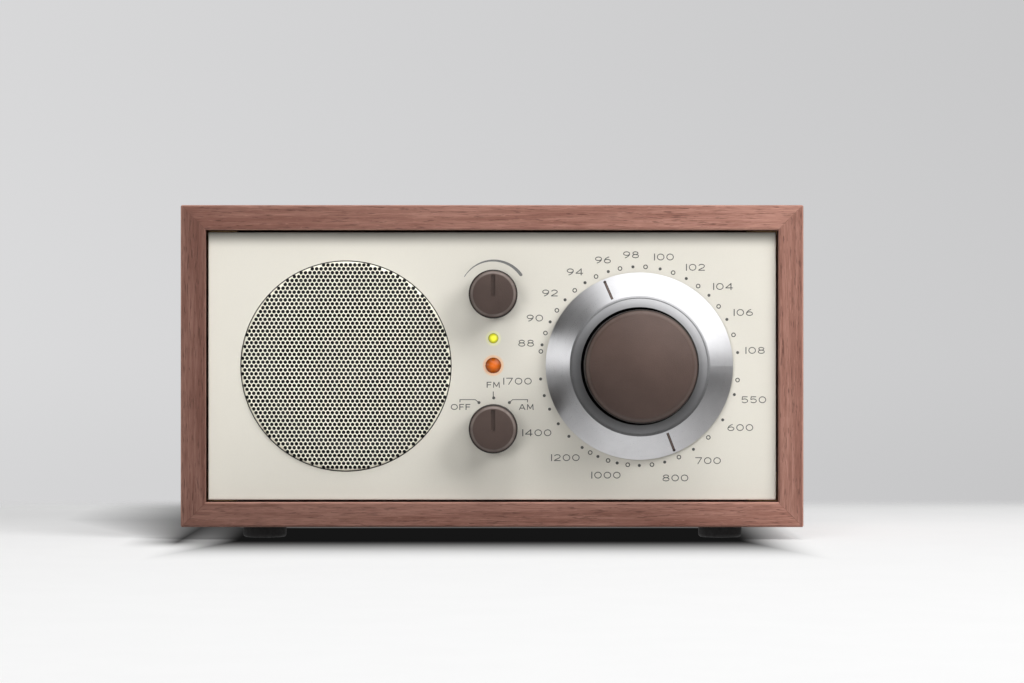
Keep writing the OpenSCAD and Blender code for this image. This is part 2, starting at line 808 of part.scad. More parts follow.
// Potentiometer: a threaded bush, a round can and three solder tags on a wafer
module volume_potentiometer() {
  color([0.55, 0.56, 0.58]) at_front(control_x, volume_z) translate([0, 0, -panel_t]) difference() {
    union() {
      disc(bush_r, -1, bush_reach);
      disc(pot_r, -pot_h, 0);
      translate([-pot_r, 0, -3.4]) cube([2 * pot_r, pot_r + 3, 1.4]);
      for (x = [-5, 0, 5]) translate([x - 0.6, pot_r + 1, -3]) cube([1.2, 6, 0.6]);
    }
    disc(shaft_r + run_gap, -pot_h + 1.8, bush_reach + 1);
  }
}

module mode_knob() {
  color([0.31, 0.26, 0.25]) at_front(control_x, mode_z) small_knob();
}

module mode_shaft() {
  color([0.75, 0.75, 0.76]) at_front(control_x, mode_z) control_shaft(switch_h - 2);
}

// Rotary switch: a threaded bush, a wafer body and a row of tags all round
module mode_switch() {
  color([0.5, 0.42, 0.3]) at_front(control_x, mode_z) translate([0, 0, -panel_t]) difference() {
    union() {
      disc(bush_r, -1, bush_reach);
      disc(switch_r, -switch_h, 0);
      for (turn = [0:30:330]) rotate(turn) translate([switch_r - 1, -0.6, -switch_h + 3]) cube([3.4, 1.2, 0.6]);
    }
    disc(shaft_r + run_gap, -switch_h + 1.8, bush_reach + 1);
  }
}

module control_nuts() {
  color([0.7, 0.7, 0.72])
    for (z = [volume_z, mode_z]) at_front(control_x, z) difference() {
      cylinder(d = nut_af * hex_over_flats, h = nut_t, $fn = 6);
      disc(bush_r + 0.02, -1, nut_t + 1);
    }
}

// Lamps: a domed lens through the panel, a collar behind it and two leads
module lamp(r, rise, length) {
  rotate_extrude($fn = 64) {
    translate([0, -panel_t - 0.5]) square([r, panel_t + 0.5 + 0.1]);
    intersection() {
      translate([0, rise - (r * r + rise * rise) / (2 * rise)]) circle(r = (r * r + rise * rise) / (2 * rise), $fn = 96);
      square([r, rise]);
    }
    translate([0, -panel_t - 1]) square([r + 0.5, 1]);
  }
  for (x = [-1.27, 1.27]) translate([x - 0.25, -0.25, -panel_t - length]) cube([0.5, 0.5, length - 0.5]);
}

module tuning_lamp() {
  color([0.9, 0.9, 0.35]) at_front(control_x, axis_z + tuned_up) lamp(tuned_d / 2, 0.8, 9);
}

module power_lamp() {
  color([0.84, 0.44, 0.17]) at_front(control_x, axis_z + power_up) lamp(power_d / 2, 1.2, 9);
}

// Tuning dial

// Deep cup of a knob, hollow at the back, with four webs around the shaft's boss
module tuning_knob() {
  base = hub_top + 1.6;
  wall = 2;
  color([0.34, 0.28, 0.26]) at_front(dial_x, axis_z) difference() {
    rotate_extrude($fn = 128) {
      knob_section(tune_r, tune_rim, base, tune_reach);
      translate([tune_r - wall, ring_gap + rim_h + 1.2]) square([wall, base]);
    }
    difference() {
      disc(tune_r - wall, base - 1, tune_reach - 3);
      disc(shaft_r + 3, base - 2, tune_reach);
      for (turn = [45, 135]) rotate(turn) translate([-tune_r, -0.8, base + 2]) cube([2 * tune_r, 1.6, tune_reach]);
    }
    intersection() {
      disc(shaft_r + 0.02, 0, tune_reach - 6);
      translate([-shaft_r - 1, -shaft_r + 1, 0]) cube([2 * shaft_r + 2, 2 * shaft_r, tune_reach]);
    }
  }
}

// Turned aluminium ring: a cone up to the ridge, a dish down to the knob and a hub
module dial_ring() {
  floor_h = ring_gap + 0.8;
  color([0.8, 0.79, 0.76]) at_front(dial_x, axis_z) rotate_extrude($fn = 128) {
    difference() {
      polygon([
        [dish_r - 0.6, ring_gap],
        [ring_r, ring_gap],
        [ring_r, ring_gap + rim_h],
        [ridge_r + 0.3, ridge_h - 0.12],
        [ridge_r - 0.3, ridge_h],
        [ridge_r - 0.6, ridge_h],
        [dish_r, ridge_h - dish_drop],
        [dish_r, floor_h],
        [dish_r - 0.6, floor_h]
      ]);
      polygon([
        [dish_r + 1.4, ring_gap - 1],
        [ring_r - 2, ring_gap - 1],
        [ring_r - 2, ring_gap + 0.6],
        [ridge_r, ridge_h - 2.4],
        [dish_r + 1.4, ridge_h - dish_drop - 1.6]
      ]);
    }
    translate([hub_r + 0.02, ring_gap]) square([dish_r - hub_r, 0.8]);
    translate([hub_r + 0.02, ring_gap]) square([2, hub_top - 1 - ring_gap]);
  }
}

// Involute teeth: the angle that the flank gains between the base circle and radius r
function flank_turn(base, r) =
  let (t = sqrt(max(0, pow(r / base, 2) - 1))) t * 180 / PI - atan(t);

function gear_points(n, add, ded, slack) =
  let (
    pitch_r = gear_m * n / 2,
    base = pitch_r * cos(gear_pa),
    low = pitch_r - ded,
    high = pitch_r + add,
    start = max(low, base),
    middle = 90 / n - slack / 4 / pitch_r * 180 / PI + flank_turn(base, pitch_r),
    steps = 4,
    radii = concat(low < base ? [low] : [], [for (k = [0:steps]) start + (high - start) * k / steps]),
    left = [for (r = radii) [r, -(middle - flank_turn(base, max(r, base)))]],
    right = [for (k = [len(radii) - 1:-1:0]) [radii[k], -left[k][1]]]
  )
  [for (tooth = [0:n - 1]) each [for (p = concat(left, right))
    [p[0] * cos(p[1] + 360 * tooth / n), p[0] * sin(p[1] + 360 * tooth / n)]]];

// Places in the drive, with z towards the listener from the panel's back
module in_drive() {
  at_front(dial_x, axis_z) translate([0, 0, -panel_t]) children();
}

// Knob shaft with the sun gear cut on it and a pilot at its end
module input_shaft() {
  color([0.78, 0.78, 0.8]) in_drive() {
    difference() {
      disc(shaft_r, -teeth_d - 0.5, panel_t + tune_reach - 6.2);
      translate([-shaft_r, -shaft_r - 1, panel_t + hub_top + 1]) cube([2 * shaft_r, 2 + flat_gap, tune_reach]);
    }
    translate([0, 0, -teeth_d - gear_w]) linear_extrude(gear_w + 0.1)
      polygon(gear_points(sun_n, gear_add, gear_ded, gear_play));
    disc(pilot_r, -rear_plate_d - 1.4, -teeth_d - 1);
  }
}

// Front plate of the carrier with the dial's hub and the planet pins
module carrier_front() {
  color([0.8, 0.72, 0.45]) in_drive() difference() {
    union() {
      disc(carrier_r, -front_plate_d - carrier_t, -front_plate_d);
      disc(hub_r, -front_plate_d - 0.5, panel_t + hub_top - 1);
      for (turn = [90:120:330]) rotate(turn) translate([orbit_r, 0, 0])
        disc(pin_r, -rear_plate_d - carrier_t, -front_plate_d - 0.5);
    }
    disc(shaft_r + run_gap, -front_plate_d - carrier_t - 1, panel_t + hub_top);
  }
}

// Rear plate of the carrier with the shaft of the tuning capacitor
module carrier_rear() {
  color([0.8, 0.72, 0.45]) in_drive() difference() {
    union() {
      disc(carrier_r, -rear_plate_d - carrier_t, -rear_plate_d);
      disc(shaft_r, -cover_d - cover_t - cap_h + 3, -rear_plate_d - 0.5);
    }
    disc(pilot_r + run_gap, -rear_plate_d - 1.6, -rear_plate_d + 1);
    for (turn = [90:120:330]) rotate(turn) translate([orbit_r, 0, 0])
      disc(pin_r + 0.02, -rear_plate_d - carrier_t - 1, -rear_plate_d + 1);
  }
}

module planet_gear(turn) {
  color([0.9, 0.88, 0.8]) in_drive() rotate(turn) translate([orbit_r, 0, -teeth_d - gear_w])
    linear_extrude(gear_w) difference() {
      rotate(180 / planet_n) polygon(gear_points(planet_n, gear_add, gear_ded, gear_play));
      circle(r = pin_r + run_gap, $fn = 64);
    }
}

module planet_gear_1() {
  planet_gear(90);
}

module planet_gear_2() {
  planet_gear(210);
}

module planet_gear_3() {
  planet_gear(330);
}

// Housing: neck through the panel, three lugs and the fixed ring gear inside
module gear_housing() {
  color([0.16, 0.16, 0.17]) in_drive() difference() {
    union() {
      disc(neck_r, -1, panel_t + 0.2);
      disc(housing_r, -cover_d, 0);
      for (turn = [30:120:270]) rotate(turn) {
        translate([lug_r, 0, 0]) disc(3.5, -housing_t, 0);
        translate([housing_r - 3, -3.5, -housing_t]) cube([lug_r - housing_r + 3, 7, housing_t]);
      }
    }
    disc(hub_r + run_gap, -cover_d - 1, panel_t + 1);
    disc(cavity_r, -teeth_d + side_gap, -housing_t);
    disc(cavity_r, -cover_d - 1, -teeth_d - gear_w);
    translate([0, 0, -cover_d - 1]) linear_extrude(cover_d - housing_t + 1)
      rotate(180 / ring_n) polygon(gear_points(ring_n, gear_ded, gear_add, -gear_play));
    for (turn = [30:120:270]) rotate(turn) translate([lug_r, 0, 0])
      disc(screw_r + 0.05, -housing_t - 1, 1);
    // Blind holes for the cover's screws
    for (turn = [90:120:330]) rotate(turn) translate([housing_r - 1.2, 0, 0])
      disc(0.6, -cover_d - 1, -cover_d + 3);
  }
}

module gear_cover() {
  color([0.16, 0.16, 0.17]) in_drive() difference() {
    disc(housing_r, -cover_d - cover_t, -cover_d);
    disc(shaft_r + run_gap, -cover_d - cover_t - 1, -cover_d + 1);
    for (turn = [90:120:330]) rotate(turn) translate([housing_r - 1.2, 0, 0])
      disc(0.6, -cover_d - cover_t - 1, -cover_d + 1);
  }
}

module gear_screws() {
  color([0.3, 0.3, 0.3]) in_drive() {
    for (turn = [30:120:270]) rotate(turn) translate([lug_r, 0, -housing_t]) screw(housing_t + panel_t - 1);
    for (turn = [90:120:330]) rotate(turn) translate([housing_r - 1.2, 0, 0]) {
      disc(0.58, -cover_d - cover_t - 0.5, -cover_d + 2.8);
      disc(1.1, -cover_d - cover_t - 1, -cover_d - cover_t);
    }
  }
}

// Film capacitor in a square plastic case with a foil window and solder tags
module tuning_capacitor() {
  color([0.75, 0.78, 0.8]) in_drive() translate([0, 0, -cover_d - cover_t]) difference() {
    union() {
      translate([0, 0, -cap_h]) linear_extrude(cap_h) round_rect(cap_size, cap_size, 2);
      for (x = [-8, -3, 3, 8]) translate([x - 0.7, -cap_size / 2 - 4, -cap_h + 4]) cube([1.4, 5, 0.5]);
    }
    disc(shaft_r + run_gap, -cap_h + 2, 1);
    for (x = [-1, 1]) for (y = [-1, 1])
      translate([x * (cap_size / 2 - 4), y * (cap_size / 2 - 4), 0]) disc(1.6, -cap_h - 1, -cap_h + 1.2);
  }
}

// Electronics

module pcb_corners() {
  for (x = [-1, 1])
    for (y = [-1, 1])
      translate([pcb_x + x * (pcb_w / 2 - 4), pcb_y + y * (pcb_d / 2 - 4), 0]) children();
}

module circuit_board() {
  color([0.2, 0.4, 0.25]) difference() {
    translate([pcb_x, pcb_y, board_z]) linear_extrude(pcb_t) round_rect(pcb_w, pcb_d, 1.5);
    pcb_corners() disc(screw_r + 0.05, board_z - 1, board_z + pcb_t + 1);
  }
}

module board_standoffs() {
  color([0.8, 0.78, 0.7]) pcb_corners() tube(3, screw_r + 0.05, floor_z, board_z);
}

// Screws of the main board and of the transformer
module chassis_screws() {
  color([0.7, 0.7, 0.72]) {
    pcb_corners() translate([0, 0, board_z + pcb_t]) mirror([0, 0, 1]) screw(pcb_t + standoff_h + 4);
    at_core_feet() translate([0, 0, floor_z + 1.2]) mirror([0, 0, 1]) screw(5);
    at_feet() translate([0, 0, foot_h / 2]) screw(foot_h / 2 + 5);
  }
}

// Tuned transformers of the receiver in square cans with a slotted core on top
module if_cans() {
  color([0.72, 0.73, 0.75])
    for (k = [-2:2])
      translate([pcb_x + (k - 0.5) * can_pitch, pcb_y - pcb_d / 2 + can_in, board_z + pcb_t]) difference() {
        linear_extrude(can_h) round_rect(can_w, can_w, can_w / 12);
        disc(can_w / 4, can_h - 1, can_h + 1);
      }
}

// Electrolytic capacitors: sleeve with a rolled groove above the foot
module board_capacitors() {
  color([0.15, 0.17, 0.3])
    for (c = [
      [-0.34, 0.125, cap_big_r, cap_big_h],
      [-0.15, 0.09, cap_mid_r, cap_mid_h],
      [0, 0.16, cap_mid_r, cap_mid_h],
      [0.145, 0.06, cap_small_r, cap_small_h],
      [0.29, 0.125, cap_small_r, cap_small_h]
    ])
      translate([pcb_x + c[0] * pcb_w, pcb_y + c[1] * pcb_d, board_z + pcb_t]) rotate_extrude($fn = 64) difference() {
        square([c[2], c[3]]);
        translate([c[2] + 0.3, 2]) circle(r = 0.8, $fn = 24);
        translate([0, c[3] - 0.4]) square([c[2] - 1, 1]);
      }
}

module along_rod(x) {
  translate([x, rod_y, rod_z]) rotate([0, 90, 0]) children();
}

module ferrite_rod() {
  color([0.25, 0.24, 0.24]) along_rod(rod_x) disc(rod_d / 2, -rod_l / 2, rod_l / 2);
}

module antenna_coil() {
  color([0.7, 0.4, 0.25]) along_rod(rod_x - rod_l / 4) {
    tube(rod_d / 2 + 0.8, rod_d / 2 + 0.05, -16, 16);
    tube(rod_d / 2 + 1.7, rod_d / 2 + 0.4, -13, 13);
  }
}

// Two hooks under the top board that the rod snaps into
module rod_clips() {
  color([0.92, 0.92, 0.88])
    for (s = [-0.06, 0.42]) translate([rod_x + s * rod_l, rod_y, 0]) difference() {
      union() {
        translate([-3, -6, rod_z]) cube([6, 12, rod_drop]);
        translate([-3, -9, roof_z - 1.6]) cube([6, 18, 1.6]);
        translate([-3, 0, rod_z]) rotate([0, 90, 0]) cylinder(r = rod_d / 2 + 1.6, h = 6, $fn = 64);
      }
      translate([-4, 0, rod_z]) rotate([0, 90, 0]) cylinder(r = rod_d / 2 + 0.05, h = 8, $fn = 64);
      translate([-4, -2.8, rod_z - rod_d]) cube([8, 5.6, rod_d]);
    }
}

module at_core_feet() {
  for (s = [-1, 1]) translate([core_x + s * (core_w / 2 + core_foot * 0.58), core_y, 0]) children();
}

// Laminated core with two windows, under a strap with feet
module transformer_core() {
  strap = 1.2;
  strap_d = core_stack * 2 / 3;
  color([0.45, 0.45, 0.47]) difference() {
    translate([core_x, core_y, floor_z]) rotate([90, 0, 0]) {
      translate([-core_w / 2, 0, -core_stack / 2]) cube([core_w, core_h, core_stack]);
      translate([-core_w / 2 - strap, 0, -strap_d / 2]) cube([core_w + 2 * strap, core_h + strap, strap_d]);
      translate([-core_w / 2 - core_foot, 0, -strap_d / 2]) cube([core_w + 2 * core_foot, strap, strap_d]);
    }
    for (s = [-1, 1])
      translate([core_x + s * core_w / 4 - core_leg / 2, core_y - core_stack, floor_z + core_leg])
        cube([core_leg, 2 * core_stack, core_h - 2 * core_leg]);
    at_core_feet() disc(screw_r + 0.05, floor_z - 1, floor_z + 3);
  }
}

// Bobbin with two cheeks and its winding, around the middle leg
module transformer_winding() {
  w = 4 * core_leg - 0.6;
  h = core_h - 2 * core_leg - 0.4;
  color([0.75, 0.65, 0.3]) translate([core_x, core_y, floor_z + core_leg + 0.2]) difference() {
    union() {
      linear_extrude(h) round_rect(w - 1.4, core_stack + 2 * winding_out - 2, winding_out * 0.43);
      for (z = [0, h - 1]) translate([0, 0, z]) linear_extrude(1) round_rect(w, core_stack + 2 * winding_out, 1);
    }
    translate([0, 0, -1]) linear_extrude(h + 2) square([2 * core_leg + 0.3, core_stack + 0.3], center = true);
  }
}

// Sockets on the back, drawn as seen from behind, with z out of the rear panel
module at_rear(x, z) {
  translate([x, rear_y, z]) rotate([-90, 0, 0]) children();
}

// Three jacks: a body on the board and a collar through the panel
module audio_jacks() {
  color([0.08, 0.08, 0.08])
    for (k = [0:2]) at_rear(jack_x + (k - 1) * jack_step, jack_z) difference() {
      union() {
        translate([-jack_w / 2, -jack_w / 2 + 0.5, -rear_t - jack_d]) cube([jack_w, jack_up + jack_w / 2 - 0.5, jack_d]);
        disc(jack_collar_r, -rear_t - 1, 0.8);
      }
      disc(jack_bore / 2, -rear_t - jack_d + 2, 2);
    }
}

module dc_jack() {
  color([0.08, 0.08, 0.08]) at_rear(dc_x, jack_z) {
    difference() {
      union() {
        translate([-jack_w / 2, -jack_w / 2, -rear_t - jack_w]) cube(jack_w);
        disc(dc_collar_r, -rear_t - 1, 0.8);
      }
      disc(dc_bore / 2, -rear_t - 8, 2);
    }
    disc(1.05, -rear_t - 8.5, 0);
  }
}

// Two-pin inlet with a flange outside and a cavity shaped like a figure eight
module mains_inlet() {
  depth = inlet_depth - 1.2;
  color([0.07, 0.07, 0.07]) at_rear(inlet_x, inlet_z) {
    difference() {
      union() {
        translate([0, 0, -depth - 1.6]) linear_extrude(depth + 2) round_rect(inlet_w, inlet_h, inlet_h / 2 - 0.6);
        linear_extrude(1.2) round_rect(inlet_w + 5, inlet_h + 4, 2.5);
      }
      translate([0, 0, -depth]) linear_extrude(depth + 3) {
        for (s = [-1, 1]) translate([s * pin_pitch / 2, 0]) circle(r = inlet_r, $fn = 64);
        square([pin_pitch, 2 * inlet_r - 2], center = true);
      }
    }
    for (s = [-1, 1]) translate([s * pin_pitch / 2, 0, 0]) disc(1.2, -depth - 0.5, -0.8);
  }
}

// Threaded antenna socket: a relieved neck in the panel, and a hexagonal shoulder inside it
module antenna_socket() {
  color([0.75, 0.74, 0.7]) at_rear(socket_x, socket_z) difference() {
    union() {
      disc(socket_d / 2 - thread_relief, -rear_t - 1, thread_lift + 1);
      disc(socket_d / 2, thread_lift, rear_recess + socket_reach);
      translate([0, 0, -rear_t - 3]) cylinder(d = socket_d + 3.5, h = 3, $fn = 6);
      disc(socket_d / 2 - 1, -rear_t - 8, -rear_t - 2);
    }
    disc(1.6, rear_recess + socket_reach - 7, rear_recess + socket_reach + 1);
  }
}

// Slide switch that picks the antenna: a body with a track behind the panel
module antenna_switch() {
  track_w = slider_w + 4 + slider_travel + 2 * soft_gap;
  color([0.4, 0.4, 0.42]) at_rear(switch_x, socket_z) translate([0, 0, -rear_t]) {
    difference() {
      translate([-8.5, -4.2, -6.5]) cube([17, 8.4, 6.5]);
      translate([-track_w / 2, -slot_h / 2 - 0.8, -1.7]) cube([track_w, slot_h + 1.6, 3]);
    }
    for (x = [-4, 0, 4]) translate([x - 0.5, -0.3, -10]) cube([1, 0.6, 4]);
  }
}

module antenna_slider() {
  color([0.1, 0.1, 0.1]) at_rear(switch_x - slider_travel / 2, socket_z) difference() {
    union() {
      translate([-slider_w / 2 - 2, -slot_h / 2 - 0.4, -rear_t - 1.4]) cube([slider_w + 4, slot_h + 0.8, 1.2]);
      translate([-slider_w / 2, -slider_h / 2, -rear_t - 1]) cube([slider_w, slider_h, rear_t + 2.6]);
    }
    for (x = [-1, 0, 1]) translate([x - 0.25, -slider_h, 1.1]) cube([0.5, 2 * slider_h, 1]);
  }
}

cabinet_top();
cabinet_bottom();
cabinet_left_side();
cabinet_right_side();
corner_blocks();
feet();
bass_port();
front_panel();
rear_panel();
panel_screws();
speaker_grille();
speaker_gasket();
speaker_basket();
speaker_surround();
speaker_cone();
dust_cap();
voice_coil();
spider();
magnet_front_plate();
magnet_ring();
magnet_yoke();
speaker_screws();
volume_knob();
volume_shaft();
volume_potentiometer();
mode_knob();
mode_shaft();
mode_switch();
control_nuts();
tuning_lamp();
power_lamp();
tuning_knob();
dial_ring();
input_shaft();
carrier_front();
carrier_rear();
planet_gear_1();
planet_gear_2();
planet_gear_3();
gear_housing();
gear_cover();
gear_screws();
tuning_capacitor();
circuit_board();
board_standoffs();
chassis_screws();
if_cans();
board_capacitors();
ferrite_rod();
antenna_coil();
rod_clips();
transformer_core();
transformer_winding();
audio_jacks();
dc_jack();
mains_inlet();
antenna_socket();
antenna_switch();
antenna_slider();
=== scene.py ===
"""Looks of a wooden table radio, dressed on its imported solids, in metres."""

import json
import math

import bpy
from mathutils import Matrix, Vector

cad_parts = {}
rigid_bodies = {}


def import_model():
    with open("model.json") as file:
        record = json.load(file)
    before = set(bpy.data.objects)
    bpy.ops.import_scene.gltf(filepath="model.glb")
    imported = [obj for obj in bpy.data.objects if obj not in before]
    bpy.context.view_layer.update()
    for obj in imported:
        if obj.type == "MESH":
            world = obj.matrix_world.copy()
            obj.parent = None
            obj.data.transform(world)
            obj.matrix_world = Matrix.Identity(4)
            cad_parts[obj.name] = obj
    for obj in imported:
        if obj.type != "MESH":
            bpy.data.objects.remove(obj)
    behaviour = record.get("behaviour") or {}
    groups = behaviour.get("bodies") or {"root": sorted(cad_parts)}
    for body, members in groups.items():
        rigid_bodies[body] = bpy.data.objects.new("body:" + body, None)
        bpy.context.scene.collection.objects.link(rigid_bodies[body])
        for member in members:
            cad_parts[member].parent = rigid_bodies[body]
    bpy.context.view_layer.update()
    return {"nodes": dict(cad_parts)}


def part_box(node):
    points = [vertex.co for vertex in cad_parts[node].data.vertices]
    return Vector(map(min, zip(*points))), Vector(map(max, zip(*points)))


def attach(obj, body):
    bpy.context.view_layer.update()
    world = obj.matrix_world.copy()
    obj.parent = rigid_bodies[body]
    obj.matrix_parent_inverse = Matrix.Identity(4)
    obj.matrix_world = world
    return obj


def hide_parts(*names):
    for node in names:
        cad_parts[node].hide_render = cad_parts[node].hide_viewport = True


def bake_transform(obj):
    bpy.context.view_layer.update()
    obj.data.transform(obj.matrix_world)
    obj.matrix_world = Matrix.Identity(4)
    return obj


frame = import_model()

bl_info = {
    "name": "Wooden table radio",
    "version": (1, 0, 0),
    "blender": (4, 5, 0),
    "location": "3D View > Sidebar > Radio",
    "description": "Dresses the solids of a wooden table radio and lights them",
    "category": "Object",
}

MM = 0.001
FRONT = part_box("cabinet_top")[0].y
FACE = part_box("front_panel")[0].y


def middle(node):
    low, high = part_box(node)
    return (low + high) / 2


def radius_of(node):
    low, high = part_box(node)
    return (high.x - low.x) / 2


GRILLE = middle("speaker_grille")
VOLUME = middle("volume_knob")
MODE = middle("mode_knob")
DIAL = middle("dial_ring")
CASE_LOW, CASE_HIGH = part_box("cabinet_bottom")[0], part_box("cabinet_top")[1]
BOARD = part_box("cabinet_bottom")[1].z - CASE_LOW.z


def linear(r, g, b):
    """Colour as read from a picture, 0 to 255, as the light that a shader takes."""
    return tuple(
        c / 12.92 if c <= 0.04045 else ((c + 0.055) / 1.055) ** 2.4
        for c in (r / 255, g / 255, b / 255)
    )


# Sizes and colours that can be changed


def length(name, description, default, high=1.0):
    return bpy.props.FloatProperty(
        name=name, description=description, default=default, min=0.0, max=high,
        subtype="DISTANCE", unit="LENGTH", precision=5,
    )


def angle(name, description, degrees):
    return bpy.props.FloatProperty(
        name=name, description=description, default=math.radians(degrees),
        subtype="ANGLE", unit="ROTATION",
    )


def colour(name, description, r, g, b):
    return bpy.props.FloatVectorProperty(
        name=name, description=description, default=linear(r, g, b), min=0.0, max=1.0,
        size=3, subtype="COLOR",
    )


def share(name, description, default, high=1.0):
    return bpy.props.FloatProperty(
        name=name, description=description, default=default, min=0.0, max=high,
        subtype="FACTOR",
    )


def watts(name, description, default):
    return bpy.props.FloatProperty(
        name=name, description=description, default=default, min=0.0, max=1000.0, unit="POWER",
    )


class CabinetLook(bpy.types.PropertyGroup):
    wood: colour("Walnut", "Main tone of the boards", 154, 110, 98)
    wood_dark: colour("Dark grain", "Darker streaks of the boards", 116, 76, 64)
    wood_light: colour("Light grain", "Lighter streaks of the boards", 183, 140, 125)
    pore: colour("Pores", "Short dark pores in the boards", 66, 42, 35)
    joint: length("Mitre line", "Width of the line where two boards meet", 0.16 * MM)
    # The lighter line along the front edges is a painted highlight
    edge_highlight: length("Worn edge", "Width of the lighter line along the front edges", 0.3 * MM)
    rubber: colour("Rubber", "Feet", 30, 29, 29)


class FrontLook(bpy.types.PropertyGroup):
    panel: colour("Panel", "Painted front panel", 225, 221, 210)
    ink: colour("Ink", "Printed marks and figures", 84, 84, 81)
    ink_pale: colour("Pale ink", "Volume knob's arc", 122, 122, 120)
    ink_rise: length("Ink thickness", "How far the print stands out", 0.03 * MM)
    stroke: length("Stroke", "Width of a printed line", 0.34 * MM)
    figure: length("Figure height", "Height of the scale's figures", 2.35 * MM)
    letter: length("Letter height", "Height of the letters", 2.0 * MM)
    scale_radius: length("Scale radius", "Radius of the scale's marks", 34.0 * MM)
    dot: length("Dot", "Diameter of a filled mark", 1.05 * MM)
    ring: length("Open mark", "Diameter of an open mark's line", 1.25 * MM)
    arc_radius: length("Volume arc", "Radius of the volume knob's arc", 11.6 * MM)
    arc_width: length("Arc width", "Widest part of the volume arc", 1.25 * MM)


class GrilleLook(bpy.types.PropertyGroup):
    sheet: colour("Sheet", "Painted sheet of the grille", 250, 247, 230)
    thickness: length("Sheet thickness", "Thickness of the grille's sheet", 0.4 * MM)
    edge: length("Rolled edge", "Radius of the rolled edge", 1.1 * MM)
    hole: length("Hole", "Diameter of a hole", 1.29 * MM)
    pitch: length("Pitch", "Distance between holes in a row", 1.535 * MM)
    row: length("Row", "Distance between rows", 1.33 * MM)
    # The black seat that shows round the sheet is painted shade
    seat: length("Seat", "Width of the black seat that shows round the sheet", 0.28 * MM)


class SpeakerLook(bpy.types.PropertyGroup):
    cloth: colour("Spider", "Resin-dipped cloth that centres the coil", 190, 150, 82)
    rubber: colour("Surround", "Rubber roll round the cone", 30, 30, 30)
    skin: length("Thickness", "Thickness of the surround and of the spider", 0.4 * MM)
    roll: length("Roll", "Outer radius of the surround's half roll", 2.04 * MM)
    seat: length("Outer lip", "Width of the surround's glued outer lip", 2.7 * MM)
    lip: length("Inner lip", "Width of the surround's glued inner lip", 2.2 * MM)
    wave: length("Wave", "Height of the spider's waves, to each side", 0.55 * MM)
    flange: length("Flange", "Width of the spider's glued flange", 3.7 * MM)
    neck: length("Neck", "How far the spider reaches in over the coil's wire", 0.48 * MM)


class KnobLook(bpy.types.PropertyGroup):
    small: colour("Small knobs", "Volume and mode knobs", 76, 63, 58)
    tuning: colour("Tuning knob", "Large knob", 84, 68, 62)
    # A painted highlight on the knobs' rounded edge takes this colour
    rim_highlight: colour("Rubbed edge", "Rounded edge of the knobs where fingers rub it", 135, 124, 118)
    small_rise: length("Small knobs' rise", "How far the small knobs' faces swell", 0.6 * MM)
    tuning_rise: length("Tuning knob's rise", "How far the tuning knob's face swells", 5.0 * MM)
    metal: colour("Ring", "Satin aluminium of the dial ring", 224, 224, 226)
    dish: length("Dish", "Outer radius of the ring's dish", 23.3 * MM)
    gap: length("Gap", "Gap between the tuning knob and the dish", 0.92 * MM)
    rim_stand: length("Rim", "How far the ring's rim stands out from the panel", 2.2 * MM)
    ridge: length("Ridge", "Radius of the ring's ridge", 23.9 * MM)
    ridge_stand: length("Ridge's stand", "How far the ridge stands out from the panel", 7.88 * MM)
    pointer: colour("Pointer", "Fill of the pointer lines", 108, 92, 86)
    pointer_edge: colour("Pointer's edge", "Sides of the pointer lines", 46, 36, 33)
    pointer_turn: angle("Pointer", "Pointer's angle left of the top", 22.4)
    pointer_width: length("Pointer width", "Width of a pointer line", 0.85 * MM)
    pointer_inner: length("Pointer's inner end", "Radius of a pointer line's inner end", 24.6 * MM)
    pointer_outer: length("Pointer's outer end", "Radius of a pointer line's outer end", 31.0 * MM)
    power: colour("Power lamp", "Lens of the power lamp", 206, 100, 26)
    # The spill colours are the lamps' light, painted on the panel round them
    power_spill: colour("Power lamp's spill", "Its light on the panel", 255, 188, 124)
    tuned: colour("Tuning lamp", "Lens of the tuning lamp", 226, 224, 60)
    tuned_spill: colour("Tuning lamp's spill", "Its light on the panel", 243, 243, 184)


class StageLook(bpy.types.PropertyGroup):
    wall_left: colour("Wall at the left", "Background on the left", 218, 218, 219)
    wall_right: colour("Wall at the right", "Background on the right", 203, 203, 204)
    floor: share("Floor", "Tone of the floor as the camera sees it", 0.84)
    bounce: share("Bounce", "Share of the light that the floor throws back on the radio", 0.84)
    key: watts("Key", "Power of the soft lamp in front at the right", 22.0)
    top: watts("Top", "Power of the soft lamp overhead", 6.2)
    fill: watts("Fill", "Power of the weak lamp low at the left", 8.2)
    sky: share("Sky", "Level of the light from all round", 0.08, 4.0)
    eye_away: length("Camera's distance", "Camera's distance from the front", 1.2, high=10.0)
    eye_across: length("Camera's side step", "Camera's place to the right of the middle", 6.8 * MM)
    eye_up: length("Camera's height", "Camera's height above the floor", 67.7 * MM)
    view_width: length("View's width", "Width of the picture at the front of the case", 0.3496)


# Each lamp's size and place, in metres
LAMPS = {
    "key": (0.9, (1.2, -0.98, 1.09)),
    "top": (0.58, (0.1, -0.38, 1.05)),
    "fill": (0.6, (-0.45, -1.55, 0.2)),
}
# Soft panels that metal mirrors: each one's direction, the cosines at its edge and at its
# heart, and how far its level is over that of the rest of the room
ROOM_LEVEL = 0.12
ROOM_PANELS = (
    ((0.41, -0.34, 0.845), 0.41, 0.82, 1.48),
    ((-0.94, -0.34, -0.1), 0.84, 0.97, 1.3),
    ((0.94, -0.34, 0.1), 0.86, 0.96, 0.2),
)
# The floor's side, and how far behind the middle it ends, in metres
FLOOR_SIZE, FLOOR_END = 8.0, 0.3


# Shader maths


